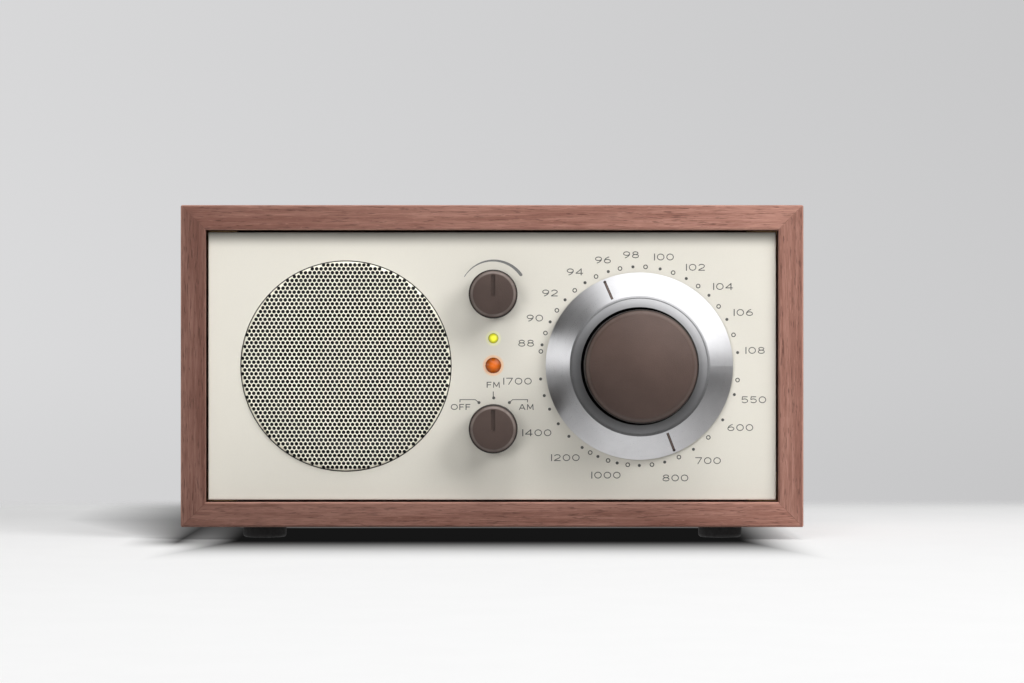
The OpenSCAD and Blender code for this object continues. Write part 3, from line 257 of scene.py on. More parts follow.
class Value:
    """One socket of a shader, on which expressions are written."""

    def __init__(self, paint, socket):
        self.paint = paint
        self.socket = socket

    def __add__(self, other):
        return self.paint.math("ADD", self, other)

    __radd__ = __add__

    def __sub__(self, other):
        return self.paint.math("SUBTRACT", self, other)

    def __rsub__(self, other):
        return self.paint.math("SUBTRACT", other, self)

    def __mul__(self, other):
        return self.paint.math("MULTIPLY", self, other)

    __rmul__ = __mul__

    def __truediv__(self, other):
        return self.paint.math("DIVIDE", self, other)

    def __abs__(self):
        return self.paint.math("ABSOLUTE", self)


class Paint:
    """A material, or the light all round, and the nodes that make it."""

    def __init__(self, name, store=None, output="ShaderNodeOutputMaterial", coordinate="Object"):
        self.made = (bpy.data.materials if store is None else store).new(name)
        self.made.use_nodes = True
        self.tree = self.made.node_tree
        self.tree.nodes.clear()
        self.output = output
        self.point = Value(self, self.node("ShaderNodeTexCoord").outputs[coordinate])

    def node(self, kind, settings=None, sockets=None):
        made = self.tree.nodes.new(kind)
        for key, value in (settings or {}).items():
            setattr(made, key, value)
        for key, value in (sockets or {}).items():
            socket = made.inputs[key]
            if isinstance(value, Value):
                self.tree.links.new(value.socket, socket)
            elif socket.type == "RGBA":
                socket.default_value = (*value[:3], 1)
            else:
                socket.default_value = value
        return made

    def shader(self, kind, sockets=None):
        return Value(self, self.node(kind, None, sockets).outputs[0])

    def show(self, shader):
        self.node(self.output, None, {0: shader})
        return self.made

    def math(self, operation, a, b=0.0):
        made = self.node("ShaderNodeMath", {"operation": operation}, {0: a, 1: b})
        return Value(self, made.outputs[0])

    def axis(self, name):
        made = self.node("ShaderNodeSeparateXYZ", None, {0: self.point})
        return Value(self, made.outputs[name])

    def place(self, scale, move=(0, 0, 0)):
        made = self.node(
            "ShaderNodeMapping", {"vector_type": "POINT"},
            {"Vector": self.point, "Location": move, "Scale": scale},
        )
        return Value(self, made.outputs[0])

    def noise(self, scale, detail=2.0, rough=0.5, point=None, twist=0.0):
        made = self.node(
            "ShaderNodeTexNoise", {"noise_dimensions": "3D"},
            {"Vector": point or self.point, "Scale": scale, "Detail": detail,
             "Roughness": rough, "Distortion": twist},
        )
        return Value(self, made.outputs[0])

    def rings(self, distance, scale, detail=2.0):
        made = self.node(
            "ShaderNodeTexNoise", {"noise_dimensions": "1D"},
            {"W": distance, "Scale": scale, "Detail": detail},
        )
        return Value(self, made.outputs[0])

    def cells(self, scale, feature="F1"):
        made = self.node(
            "ShaderNodeTexVoronoi", {"feature": feature}, {"Vector": self.point, "Scale": scale}
        )
        return Value(self, made.outputs["Distance"])

    def spread(self, value, low, high, to_low=0.0, to_high=1.0, smooth=True):
        """The value's share of the way from low to high, as a number between two others."""
        made = self.node(
            "ShaderNodeMapRange",
            {"interpolation_type": "SMOOTHSTEP" if smooth else "LINEAR"},
            {"Value": value, "From Min": low, "From Max": high,
             "To Min": to_low, "To Max": to_high},
        )
        return Value(self, made.outputs[0])

    def mix(self, factor, a, b, blend="MIX"):
        made = self.node(
            "ShaderNodeMix", {"data_type": "RGBA", "blend_type": blend}, {0: factor, 6: a, 7: b}
        )
        return Value(self, made.outputs[2])

    def towards(self, direction):
        """How far the point lies along a direction."""
        made = self.node(
            "ShaderNodeVectorMath", {"operation": "DOT_PRODUCT"},
            {0: self.point, 1: Vector(direction).normalized()},
        )
        return Value(self, made.outputs["Value"])

    def ray(self, kind):
        return Value(self, self.node("ShaderNodeLightPath").outputs[f"Is {kind} Ray"])

    def from_axis(self, centre):
        """Distance from a line along the depth through a point on the front."""
        moved = self.node(
            "ShaderNodeVectorMath", {"operation": "SUBTRACT"},
            {0: self.point, 1: (centre.x, 0, centre.z)},
        )
        flat = self.node(
            "ShaderNodeVectorMath", {"operation": "MULTIPLY"},
            {0: Value(self, moved.outputs[0]), 1: (1, 0, 1)},
        )
        far = self.node(
            "ShaderNodeVectorMath", {"operation": "LENGTH"}, {0: Value(self, flat.outputs[0])}
        )
        return Value(self, far.outputs["Value"])

    def finish(self, base, rough, height=None, depth=0.1 * MM, strength=1.0, extra=None):
        """Joins a surface to the output. Height is in parts of depth, in metres."""
        sockets = {"Base Color": base, "Roughness": rough, **(extra or {})}
        if height is not None:
            bump = {"Height": height, "Distance": depth, "Strength": strength}
            sockets["Normal"] = self.shader("ShaderNodeBump", bump)
        return self.show(self.shader("ShaderNodeBsdfPrincipled", sockets))


# Finishes

# Blacks painted as shade: behind and round the grille's sheet, and down the gap round the tuning
# knob
SEAT_SHADE = (0.004, 0.004, 0.004)
GAP_SHADE = (0.01, 0.01, 0.01)
# How dark the painted shade is right under the upper board, and how far down it reaches
LIP_SHADE, LIP_REACH = 0.86, 6.4 * MM
# How strong a lamp's painted light is on the paint beside it, and how far out it reaches
SPILL, SPILL_REACH = 0.6, 0.8 * MM
# How far the ring's dish reads as crowned
DISH_CROWN = 1.86 * MM


def tinted(rgb, gain):
    return tuple(min(1.0, c * gain) for c in rgb)


def walnut(name, along, look, seed, left, right):
    """Straight-grained walnut, oiled to a satin, with the grain along x or z.

    The board's tone runs from one share at its left to another at its right: partly the
    wood's own tone and partly painted shade, darker away from the key lamp at the right."""
    paint = Paint(name)

    def grain(long, cross, detail, shift, twist=0.0):
        scale = (long, cross, cross) if along == "x" else (cross, cross, long)
        point = paint.place(scale, (seed + shift, shift, seed))
        return paint.noise(1.0, detail, 0.55, point, twist)

    broad = grain(6, 80, 3, 1.3, 0.8)
    streak = grain(30, 760, 4, 7.9, 0.3)
    fine = grain(150, 2600, 3, 3.1)
    pores = paint.spread(grain(230, 3000, 2, 5.7), 0.59, 0.68)
    flecks = paint.spread(grain(300, 3000, 2, 11.3), 0.62, 0.72)
    tone = paint.spread(broad * 0.5 + streak * 0.5, 0.37, 0.63)
    base = paint.mix(tone, look.wood_dark, look.wood_light)
    base = paint.mix(0.48, base, look.wood)
    base = paint.mix(paint.spread(fine, 0.38, 0.66, 0.0, 0.4), base, look.wood_dark)
    base = paint.mix(flecks * 0.3, base, tinted(look.wood_light, 1.2))
    base = paint.mix(pores * 0.5, base, look.pore)
    # The mitre shows as a thin darker line across the front edges
    half_w = (CASE_HIGH.x - CASE_LOW.x) / 2
    half_h = (CASE_HIGH.z - CASE_LOW.z) / 2
    aside = abs(paint.axis("X"))
    above = abs(paint.axis("Z") - (CASE_LOW.z + half_h))
    away = aside - above - (half_w - half_h)
    line = paint.spread(abs(away), look.joint * 0.3, look.joint, 1.0, 0.0)
    base = paint.mix(line * 0.35, base, look.pore)
    # Partly painted shade: the tone falls off to the left, away from the key lamp, over the wood's
    # own tone
    shade = paint.spread(paint.axis("X"), CASE_LOW.x, CASE_HIGH.x, left, right, smooth=False)
    base = paint.mix(1.0, base, shade, "MULTIPLY")
    # A painted highlight runs along the front edges, inside and outside, as a lighter line
    inside = paint.math("MAXIMUM", aside - (half_w - BOARD), above - (half_h - BOARD))
    outside = paint.math("MINIMUM", half_w - aside, half_h - above)
    edge = paint.math("MINIMUM", inside, paint.math("MAXIMUM", outside, 0.0))
    front = paint.spread(paint.axis("Y"), FRONT + 2 * look.edge_highlight, FRONT + 4 * look.edge_highlight, 1.0, 0.0)
    edge_highlight_mask = paint.spread(edge, 0.0, look.edge_highlight * 1.5, 1.0, 0.0) * front
    edge_highlight_mask = edge_highlight_mask * paint.spread(paint.noise(90, 3, 0.6), 0.3, 0.6, 0.25, 0.7)
    base = paint.mix(edge_highlight_mask, base, tinted(look.wood_light, 1.2))
    rough = paint.spread(streak + fine * 0.5, 0.45, 1.05, 0.46, 0.66)
    height = fine * 0.35 + streak * 0.25 - pores * 0.6 - line * 0.4
    return paint.finish(base, rough, height, 0.14 * MM, 0.8, {"Specular IOR Level": 0.28})


def soft_wood(name, rgb):
    """Sawn softwood with its rings and fibres running along the depth."""
    paint = Paint(name)
    rings = paint.noise(1.0, 3, 0.6, paint.place((260, 20, 260)), 0.8)
    fibre = paint.noise(1.0, 3, 0.5, paint.place((2200, 80, 2200)))
    base = paint.mix(paint.spread(rings, 0.35, 0.65), rgb, tinted(rgb, 0.72))
    base = paint.mix(paint.spread(fibre, 0.4, 0.7, 0.0, 0.3), base, tinted(rgb, 0.5))
    return paint.finish(base, paint.spread(fibre, 0.3, 0.7, 0.6, 0.8), fibre, 0.2 * MM, 0.6)


def painted(name, rgb, rough, grain=2600, depth=0.02 * MM, painted_shade_zone=None, lip=None, lit=()):
    """Sprayed paint: a fine even skin, with the least drift in tone.

    A round seat, given by its middle and radius, is painted black as shade. Lip is the height
    under which painted shade darkens the paint. Lit has the middle, radius and colour of each
    lamp whose light is painted on the paint round it."""
    paint = Paint(name)
    skin = paint.noise(grain, 2, 0.5)
    drift = paint.noise(18, 2, 0.5)
    base = paint.mix(paint.spread(drift, 0.3, 0.7), tinted(rgb, 0.985), tinted(rgb, 1.015))
    base = paint.mix(paint.spread(skin, 0.35, 0.65, 0.0, 0.06), base, tinted(rgb, 0.8))
    # Painted shade under the upper board
    if lip:
        under = paint.spread(lip - paint.axis("Z"), 0.0, LIP_REACH, LIP_SHADE, 0.0)
        under = under + under * paint.spread(drift, 0.3, 0.7, -0.06, 0.06)
        base = paint.mix(under, base, tinted(rgb, 0.1))
    # Painted light: each lamp's glow on the panel round it
    for centre, radius, light in lit:
        spill = paint.spread(paint.from_axis(centre), radius, radius + SPILL_REACH, SPILL, 0.0)
        base = paint.mix(spill, base, light)
    # Painted shade: the seat behind the grille's holes and a thin line round the sheet are painted
    # black
    if painted_shade_zone:
        seat = paint.spread(paint.from_axis(painted_shade_zone[0]), painted_shade_zone[1], painted_shade_zone[1] + 0.1 * MM, 1.0, 0.0)
        base = paint.mix(seat, base, SEAT_SHADE)
    level = paint.spread(skin, 0.3, 0.7, rough - 0.04, rough + 0.05)
    return paint.finish(base, level, skin, depth, 0.5)


def moulded(name, rgb, rough, grain=1500):
    """Moulded plastic with the etched grain of its mould."""
    paint = Paint(name)
    etched = paint.cells(grain)
    cloud = paint.noise(60, 3, 0.5)
    base = paint.mix(paint.spread(cloud, 0.3, 0.7), tinted(rgb, 0.9), tinted(rgb, 1.1))
    base = paint.mix(paint.spread(etched, 0.0, 0.6, 0.12, 0.0), base, tinted(rgb, 0.6))
    level = paint.spread(etched, 0.0, 0.7, rough - 0.06, rough + 0.08)
    return paint.finish(base, level, etched, 0.04 * MM, 0.6)


def rubbery(name, rgb, rough=0.72):
    """Dull rubber with a little dust on it."""
    paint = Paint(name)
    dust = paint.noise(900, 4, 0.6)
    skin = paint.cells(2400)
    base = paint.mix(paint.spread(dust, 0.45, 0.75, 0.0, 0.35), rgb, tinted(rgb, 1.8))
    level = paint.spread(dust, 0.3, 0.7, rough - 0.08, rough + 0.1)
    return paint.finish(base, level, skin, 0.06 * MM, 0.5)


def dome(paint, centre, radius, rise):
    """The height of a round face that swells by its rise, from its edge to its middle."""
    share_out = paint.from_axis(centre) / radius
    return (1.0 - share_out * share_out) * rise


def metal(name, rgb, rough):
    """Rolled or pressed metal with fine scratches along its depth."""
    paint = Paint(name)
    lines = paint.noise(1.0, 3, 0.6, paint.place((3000, 200, 3000)))
    stain = paint.noise(140, 3, 0.6)
    base = paint.mix(paint.spread(stain, 0.35, 0.7), rgb, tinted(rgb, 0.82))
    level = paint.spread(lines * 0.6 + stain * 0.4, 0.35, 0.65, rough - 0.07, rough + 0.1)
    return paint.finish(base, level, lines, 0.02 * MM, 0.5, {"Metallic": 1.0})


def turned(name, rgb, centre, rough):
    """Metal turned on a lathe, with fine rings round its centre."""
    paint = Paint(name)
    radius = paint.from_axis(centre)
    groove = paint.rings(radius, 9000, 2)
    band = paint.rings(radius, 1300, 3)
    base = paint.mix(paint.spread(band, 0.3, 0.7), tinted(rgb, 0.93), tinted(rgb, 1.03))
    level = paint.spread(groove * 0.6 + band * 0.4, 0.3, 0.7, rough - 0.05, rough + 0.07)
    height = groove * 0.7 + band * 0.3
    return paint.finish(base, level, height, 0.03 * MM, 0.35, {"Metallic": 1.0})


def blasted(name, rgb, centre, dish, opening):
    """Satin aluminium: faintly turned outside, bead-blasted in its crowned dish, and with painted
    shade, darkest down the gap round the knob, which starts at the opening's radius."""
    paint = Paint(name)
    radius = paint.from_axis(centre)
    groove = paint.rings(radius, 11000, 2)
    beads = paint.noise(4200, 3, 0.6)
    stain = paint.noise(90, 3, 0.6)
    inner = paint.spread(radius, dish - 0.7 * MM, dish - 0.2 * MM, 1.0, 0.0)
    crown = paint.spread(radius, opening, dish - 0.3 * MM, smooth=False)
    base = paint.mix(paint.spread(stain, 0.3, 0.7), tinted(rgb, 0.95), tinted(rgb, 1.04))
    base = paint.mix(inner * paint.spread(beads, 0.35, 0.65, 0.1, 0.4), base, tinted(rgb, 0.85))
    # Painted shade, darker towards the gap, and the gap itself painted black
    deep = paint.spread(radius, opening, dish - 0.6 * MM, 0.5, 0.0)
    gap = paint.spread(radius, opening, opening + 0.1 * MM, 1.0, 0.0)
    base = paint.mix(deep, base, tinted(rgb, 0.3))
    base = paint.mix(gap, base, GAP_SHADE)
    level = paint.spread(groove * 0.5 + beads * 0.5, 0.3, 0.7, 0.27, 0.37) + inner * 0.05
    skin = 0.03 * MM
    height = groove * 0.12 + beads * (0.1 + inner * 0.3) - crown * (DISH_CROWN / skin)
    return paint.finish(base, level, height, skin, 1.0, {"Metallic": 1.0 - inner * 0.04})


def fibrous(name, rgb, rough=0.85, scale=900):
    """Pressed paper, card or resin board, with its fibres."""
    paint = Paint(name)
    fibre = paint.noise(scale, 5, 0.7, None, 1.5)
    pulp = paint.noise(scale * 3, 3, 0.6)
    base = paint.mix(paint.spread(fibre, 0.35, 0.65), tinted(rgb, 0.78), tinted(rgb, 1.15))
    level = paint.spread(pulp, 0.3, 0.7, rough - 0.08, rough + 0.08)
    return paint.finish(base, level, fibre + pulp * 0.5, 0.12 * MM, 0.6)


def wound(name, rgb, pitch, along, metallic=0.0, rough=0.4):
    """Wire or tape laid side by side along one axis."""
    paint = Paint(name)
    wave = paint.math("SINE", paint.axis(along) * (2 * math.pi / pitch))
    wander = paint.noise(500, 2, 0.5)
    base = paint.mix(paint.spread(wave, -0.9, 0.2, 1.0, 0.0), rgb, tinted(rgb, 0.45))
    base = paint.mix(paint.spread(wander, 0.4, 0.7, 0.0, 0.3), base, tinted(rgb, 0.7))
    level = paint.spread(wander, 0.3, 0.7, rough - 0.08, rough + 0.1)
    height = wave * 0.5 + wander * 0.2
    return paint.finish(base, level, height, pitch * 0.3, 0.8, {"Metallic": metallic})


def woven(name, rgb):
    """Open cloth of crossed threads, stiffened with resin."""
    paint = Paint(name)
    pitch = 0.6 * MM
    warp = paint.math("SINE", paint.axis("X") * (2 * math.pi / pitch))
    weft = paint.math("SINE", paint.axis("Z") * (2 * math.pi / pitch))
    weave = warp * weft
    base = paint.mix(paint.spread(weave, -0.6, 0.6), tinted(rgb, 0.7), tinted(rgb, 1.15))
    return paint.finish(base, 0.85, weave, 0.1 * MM, 0.7)


def circuit(name, rgb):
    """Lacquered board with tracks that show through the lacquer."""
    paint = Paint(name)
    tracks = paint.cells(130, "DISTANCE_TO_EDGE")
    line = paint.spread(tracks, 0.0, 0.06, 1.0, 0.0)
    weave = paint.noise(2600, 2, 0.5)
    base = paint.mix(line * 0.6, rgb, tinted(rgb, 1.9))
    base = paint.mix(paint.spread(weave, 0.4, 0.7, 0.0, 0.2), base, tinted(rgb, 0.6))
    height = line * 0.6 + weave * 0.2
    return paint.finish(base, 0.34, height, 0.06 * MM, 0.6, {"Coat Weight": 0.3})


def lens(name, rgb, glow, centre, radius):
    """Coloured lens over a lamp, brightest in its middle and dark round its edge."""
    paint = Paint(name)
    away = paint.from_axis(centre)
    core = paint.spread(away, radius * 0.1, radius * 0.95, 1.0, 0.0)
    speck = paint.noise(1800, 2, 0.5)
    base = paint.mix(core, tinted(rgb, 0.34), rgb)
    light = paint.mix(core, tinted(rgb, 0.12), rgb)
    level = paint.spread(speck, 0.3, 0.7, 0.16, 0.24)
    coat = {"Coat Weight": 0.15, "Coat Roughness": 0.15}
    shine = {"Emission Color": light, "Emission Strength": glow, **coat}
    return paint.finish(base, level, speck, 0.01 * MM, 0.2, shine)


def soft_touch(name, rgb, rim_highlight, centres, radius, rise, rim):
    """Knob plastic with a matt, faintly leathery skin, and a face that swells by its rise.

    Rim is how strongly a painted highlight lightens the rounded edge towards its given colour."""
    paint = Paint(name)
    skin = paint.noise(3200, 3, 0.6)
    etched = paint.cells(2300)
    wear = paint.noise(120, 3, 0.6)
    base = paint.mix(paint.spread(wear, 0.3, 0.7), tinted(rgb, 0.93), tinted(rgb, 1.07))
    base = paint.mix(paint.spread(skin, 0.4, 0.7, 0.0, 0.12), base, tinted(rgb, 1.5))
    skin_depth = 0.1 * MM
    swelling = rise / skin_depth
    swell = dome(paint, centres[0], radius, swelling)
    away = paint.from_axis(centres[0])
    for centre in centres[1:]:
        swell = paint.math("MAXIMUM", swell, dome(paint, centre, radius, swelling))
        away = paint.math("MINIMUM", away, paint.from_axis(centre))
    # Painted highlight along the rounded edge, uneven round it
    rim_highlight_share = paint.spread(abs(away - (radius - 1.0 * MM)), 0.1 * MM, 0.6 * MM, 1.0, 0.0)
    rim_highlight_share = rim_highlight_share * paint.spread(paint.noise(260, 3, 0.6), 0.3, 0.65, rim * 0.55, rim)
    base = paint.mix(rim_highlight_share, base, rim_highlight)
    # Painted shade: a dark outline round the face's edge
    outline_shade = paint.spread(away, radius - 0.55 * MM, radius - 0.3 * MM, 0.0, 0.96)
    base = paint.mix(outline_shade, base, tinted(rgb, 0.12))
    level = paint.spread(skin, 0.3, 0.7, 0.42, 0.54)
    height = etched * 0.3 + skin * 0.2 + swell
    return paint.finish(base, level, height, skin_depth, 1.0, {"Specular IOR Level": 0.45})


def ink(name, rgb):
    """Screen-printed ink, a little uneven."""
    paint = Paint(name)
    grain = paint.noise(5200, 3, 0.6)
    base = paint.mix(paint.spread(grain, 0.35, 0.65), tinted(rgb, 0.9), tinted(rgb, 1.12))
    return paint.finish(base, 0.55, grain, 0.005 * MM, 0.4)


# Modelling by hand


def clear():
    if bpy.context.object and bpy.context.object.mode != "OBJECT":
        bpy.ops.object.mode_set(mode="OBJECT")
    bpy.ops.object.select_all(action="DESELECT")


def only(*objects):
    clear()
    for piece in objects:
        piece.select_set(True)
    bpy.context.view_layer.objects.active = objects[0]


def named(name):
    piece = bpy.context.object
    piece.name = name
    piece.data.name = name
    return piece


def settle(piece):
    """Puts a piece's place, turn and size into its mesh."""
    only(piece)
    bpy.ops.object.transform_apply(location=True, rotation=True, scale=True)
    return piece


def edit(piece, mode="FACE"):
    only(piece)
    bpy.ops.object.mode_set(mode="EDIT")
    bpy.ops.mesh.select_mode(type=mode)
    bpy.ops.mesh.select_all(action="DESELECT")
    bpy.ops.object.mode_set(mode="OBJECT")


def pick(parts, test):
    """Selects the vertices, edges or faces that pass a test, in edit mode."""
    for part in parts:
        part.select = test(part)
    bpy.ops.object.mode_set(mode="EDIT")


def pick_front_edges(piece, depth):
    """Selects the edges that lie wholly in front of a depth, in edit mode."""
    points = piece.data.vertices
    pick(piece.data.edges, lambda edge: all(points[v].co.y < depth for v in edge.vertices))


def modify(piece, kind, **settings):
    only(piece)
    bpy.ops.object.modifier_add(type=kind)
    modifier = piece.modifiers[-1]
    for key, value in settings.items():
        setattr(modifier, key, value)
    bpy.ops.object.modifier_apply(modifier=modifier.name)
    return piece


def dressed(piece, paint, body):
    piece.data.materials.clear()
    piece.data.materials.append(paint)
    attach(piece, body)
    return piece


def copies(first, name, places):
    """Copies a piece to each place, and joins the copies into one."""
    made = []
    for place in places:
        only(first)
        bpy.ops.object.duplicate(linked=False)
        twin = bpy.context.object
        twin.location = place
        made.append(twin)
    bpy.data.objects.remove(first)
    only(*made)
    bpy.ops.object.join()
    return settle(named(name))


def round_mark(look):
    """One filled mark, lying along the depth, to be copied."""
    clear()
    bpy.ops.mesh.primitive_cylinder_add(
        vertices=20, radius=look.dot / 2, depth=2 * look.ink_rise,
        rotation=(math.radians(90), 0, 0),
    )
    return named("dot")


def printed(name, lines, width, look, paint):
    """Printed strokes on the panel, each a row of (x, z) or (x, z, share of the width)."""
    curve = bpy.data.curves.new(name, "CURVE")
    curve.dimensions = "3D"
    curve.fill_mode = "FULL"
    curve.bevel_depth = width / 2
    curve.bevel_resolution = 1
    curve.use_fill_caps = True
    for line in lines:
        closed = line[0] == line[-1] and len(line) > 2
        points = line[:-1] if closed else line
        spline = curve.splines.new("POLY")
        spline.points.add(len(points) - 1)
        for point, place in zip(spline.points, points):
            point.co = (place[0], 0, place[1], 1)
            point.radius = place[2] if len(place) > 2 else 1.0
        spline.use_cyclic_u = closed
    piece = bpy.data.objects.new(name, curve)
    bpy.context.scene.collection.objects.link(piece)
    only(piece)
    bpy.ops.object.convert(target="MESH")
    piece = named(name)
    piece.scale = (1, 2 * look.ink_rise / width, 1)
    piece.location = (0, FACE, 0)
    settle(piece)
    bpy.ops.object.shade_flat()
    return dressed(piece, paint, "cabinet")


# Figures and letters, as strokes in a box one unit high


def bow(cx, cz, rx, rz, start, end, steps=14):
    """Points on an ellipse, from one angle to another, in degrees from the right."""
    turn = [math.radians(start + (end - start) * k / steps) for k in range(steps + 1)]
    return [(cx + rx * math.cos(t), cz + rz * math.sin(t)) for t in turn]


def closed_bow(cx, cz, rx, rz):
    points = bow(cx, cz, rx, rz, 0, 360, 22)
    return points[:-1] + points[:1]


LOW, TOP = 0.07, 0.93
GLYPHS = {
    "0": (1.1, [closed_bow(0.55, 0.5, 0.48, 0.43)]),
    "1": (0.16, [[(0.08, 0.0), (0.08, 1.0)]]),
    "2": (1.0, [
        bow(0.49, 0.68, 0.41, 0.25, 172, -22, 12)
        + [(0.72, 0.44), (0.4, 0.29), (0.16, 0.16), (0.07, LOW)],
        [(0.0, LOW), (0.96, LOW)],
    ]),
    "4": (1.08, [[(0.8, 0.0), (0.8, 1.0)], [(0.82, TOP), (0.04, 0.31)], [(0.0, 0.3), (1.06, 0.3)]]),
    "5": (1.0, [
        [(0.92, TOP), (0.14, TOP)], [(0.2, 0.97), (0.12, 0.5)],
        [(0.12, 0.53)] + bow(0.5, 0.345, 0.43, 0.275, 118, -152, 16),
    ]),
    "6": (1.02, [
        closed_bow(0.51, 0.33, 0.44, 0.26),
        [(0.76, 0.95), (0.5, 0.86), (0.26, 0.7), (0.12, 0.53), (0.07, 0.36)],
    ]),
    "7": (0.98, [[(0.0, TOP), (0.96, TOP)], [(0.93, 0.95), (0.34, 0.0)]]),
    "8": (1.02, [closed_bow(0.51, 0.735, 0.37, 0.195), closed_bow(0.51, 0.3, 0.44, 0.235)]),
    "9": (1.02, [
        closed_bow(0.51, 0.67, 0.44, 0.26),
        [(0.26, 0.05), (0.52, 0.14), (0.76, 0.3), (0.9, 0.47), (0.95, 0.64)],
    ]),
    "O": (1.2, [closed_bow(0.6, 0.5, 0.53, 0.43)]),
    "F": (0.8, [[(0.07, 0.0), (0.07, 1.0)], [(0.0, TOP), (0.8, TOP)], [(0.07, 0.5), (0.7, 0.5)]]),
    "A": (1.06, [
        [(0.02, 0.0), (0.53, 0.98)], [(0.53, 0.98), (1.04, 0.0)], [(0.2, 0.3), (0.86, 0.3)],
    ]),
    "M": (1.16, [
        [(0.08, 0.0), (0.14, 1.0)], [(0.12, 0.97), (0.58, 0.2)], [(0.58, 0.2), (1.04, 0.97)],
        [(1.02, 1.0), (1.08, 0.0)],
    ]),
}
GLYPH_GAP = 0.27


def lettering(text, centre, height):
    """The strokes of a word round its centre."""
    width = sum(GLYPHS[c][0] for c in text) + GLYPH_GAP * (len(text) - 1)
    x, strokes = centre[0] - width * height / 2, []
    for c in text:
        for line in GLYPHS[c][1]:
            strokes.append([(x + p[0] * height, centre[1] + (p[1] - 0.5) * height) for p in line])
        x += (GLYPHS[c][0] + GLYPH_GAP) * height
    return strokes


# Scale: each mark's angle clockwise from the top, in degrees, and each figure's place from the
# dial's centre, in millimetres to the right and up
FM_MARKS = [
    -77.7, -70.6, -63.6, -55.9, -48.2, -40.4, -33.0, -25.7, -18.1, -11.1, -3.6, 3.7, 12.2, 20.0,
    28.3, 36.4, 44.6, 53.1, 62.0, 71.7, 82.2,
]
AM_MARKS = {
    550: 106.7, 600: 122.8, 650: 135.9, 700: 146.9, 750: 156.4, 800: 165.1, 850: 172.6, 900: 179.9,
    950: 186.6, 1000: 192.8, 1050: 198.2, 1100: 204.5, 1150: 209.5, 1200: 215.0, 1300: 225.0,
    1400: 234.5, 1500: 244.3, 1600: 252.7, 1700: 262.5,
}
OPEN_AM = (650, 750, 850, 950, 1050, 1150)
BAND_ENDS = (-81.5, 98.1)
FIGURES = {
    "88": (-38.66, 7.83), "90": (-35.68, 16.41), "92": (-30.48, 25.0), "94": (-21.97, 32.22),
    "96": (-12.39, 36.29), "98": (-2.78, 38.07), "100": (8.47, 37.31), "102": (19.28, 33.79),
    "104": (28.69, 27.22), "106": (35.63, 18.33), "108": (39.67, 5.36), "550": (39.19, -11.53),
    "600": (34.61, -21.04), "700": (23.59, -32.36), "800": (12.41, -38.28),
    "1000": (-11.37, -37.32), "1200": (-25.26, -31.34), "1400": (-35.01, -22.82),
    "1700": (-41.62, -5.17),
}


# The words round the mode knob, the lines that lead from each to its dot at one of the knob's
# three positions, and the dots, in millimetres to the right of the knob's centre and up
WORDS = {"OFF": (-11.2, 7.3), "FM": (0.0, 14.9), "AM": (11.3, 7.3)}
LEADERS = [
    [(-11.4, 8.9), (-11.4, 9.9)], [(-11.5, 9.8), (-6.2, 9.8), (-4.9, 8.8)],
    [(0.0, 12.6), (0.0, 10.4)], [(5.5, 8.8), (6.6, 9.8), (11.8, 9.8)],
    [(11.7, 9.9), (11.7, 8.9)],
]
WORD_DOTS = [(-4.9, 8.8), (0.15, 10.4), (5.5, 8.8)]
# The volume arc: its start clockwise from the top and its turn, in degrees, the share of its
# width at its thin end, and its steps
ARC_START, ARC_TURN, ARC_THIN, ARC_STEPS = -59, 113, 0.2, 40


def by_mode(x, z):
    """Place beside the mode knob, from millimetres to the right of its centre and up."""
    return MODE.x + x * MM, MODE.z + z * MM


def on_scale(degrees, radius):
    """Place on the panel, at an angle clockwise from over the dial's centre."""
    turn = math.radians(degrees)
    return (DIAL.x + radius * math.sin(turn), FACE, DIAL.z + radius * math.cos(turn))


def look_of(context, name):
    return getattr(context.scene, "radio_" + name)


class Maker:
    """What the operators share."""

    bl_options = {"REGISTER"}


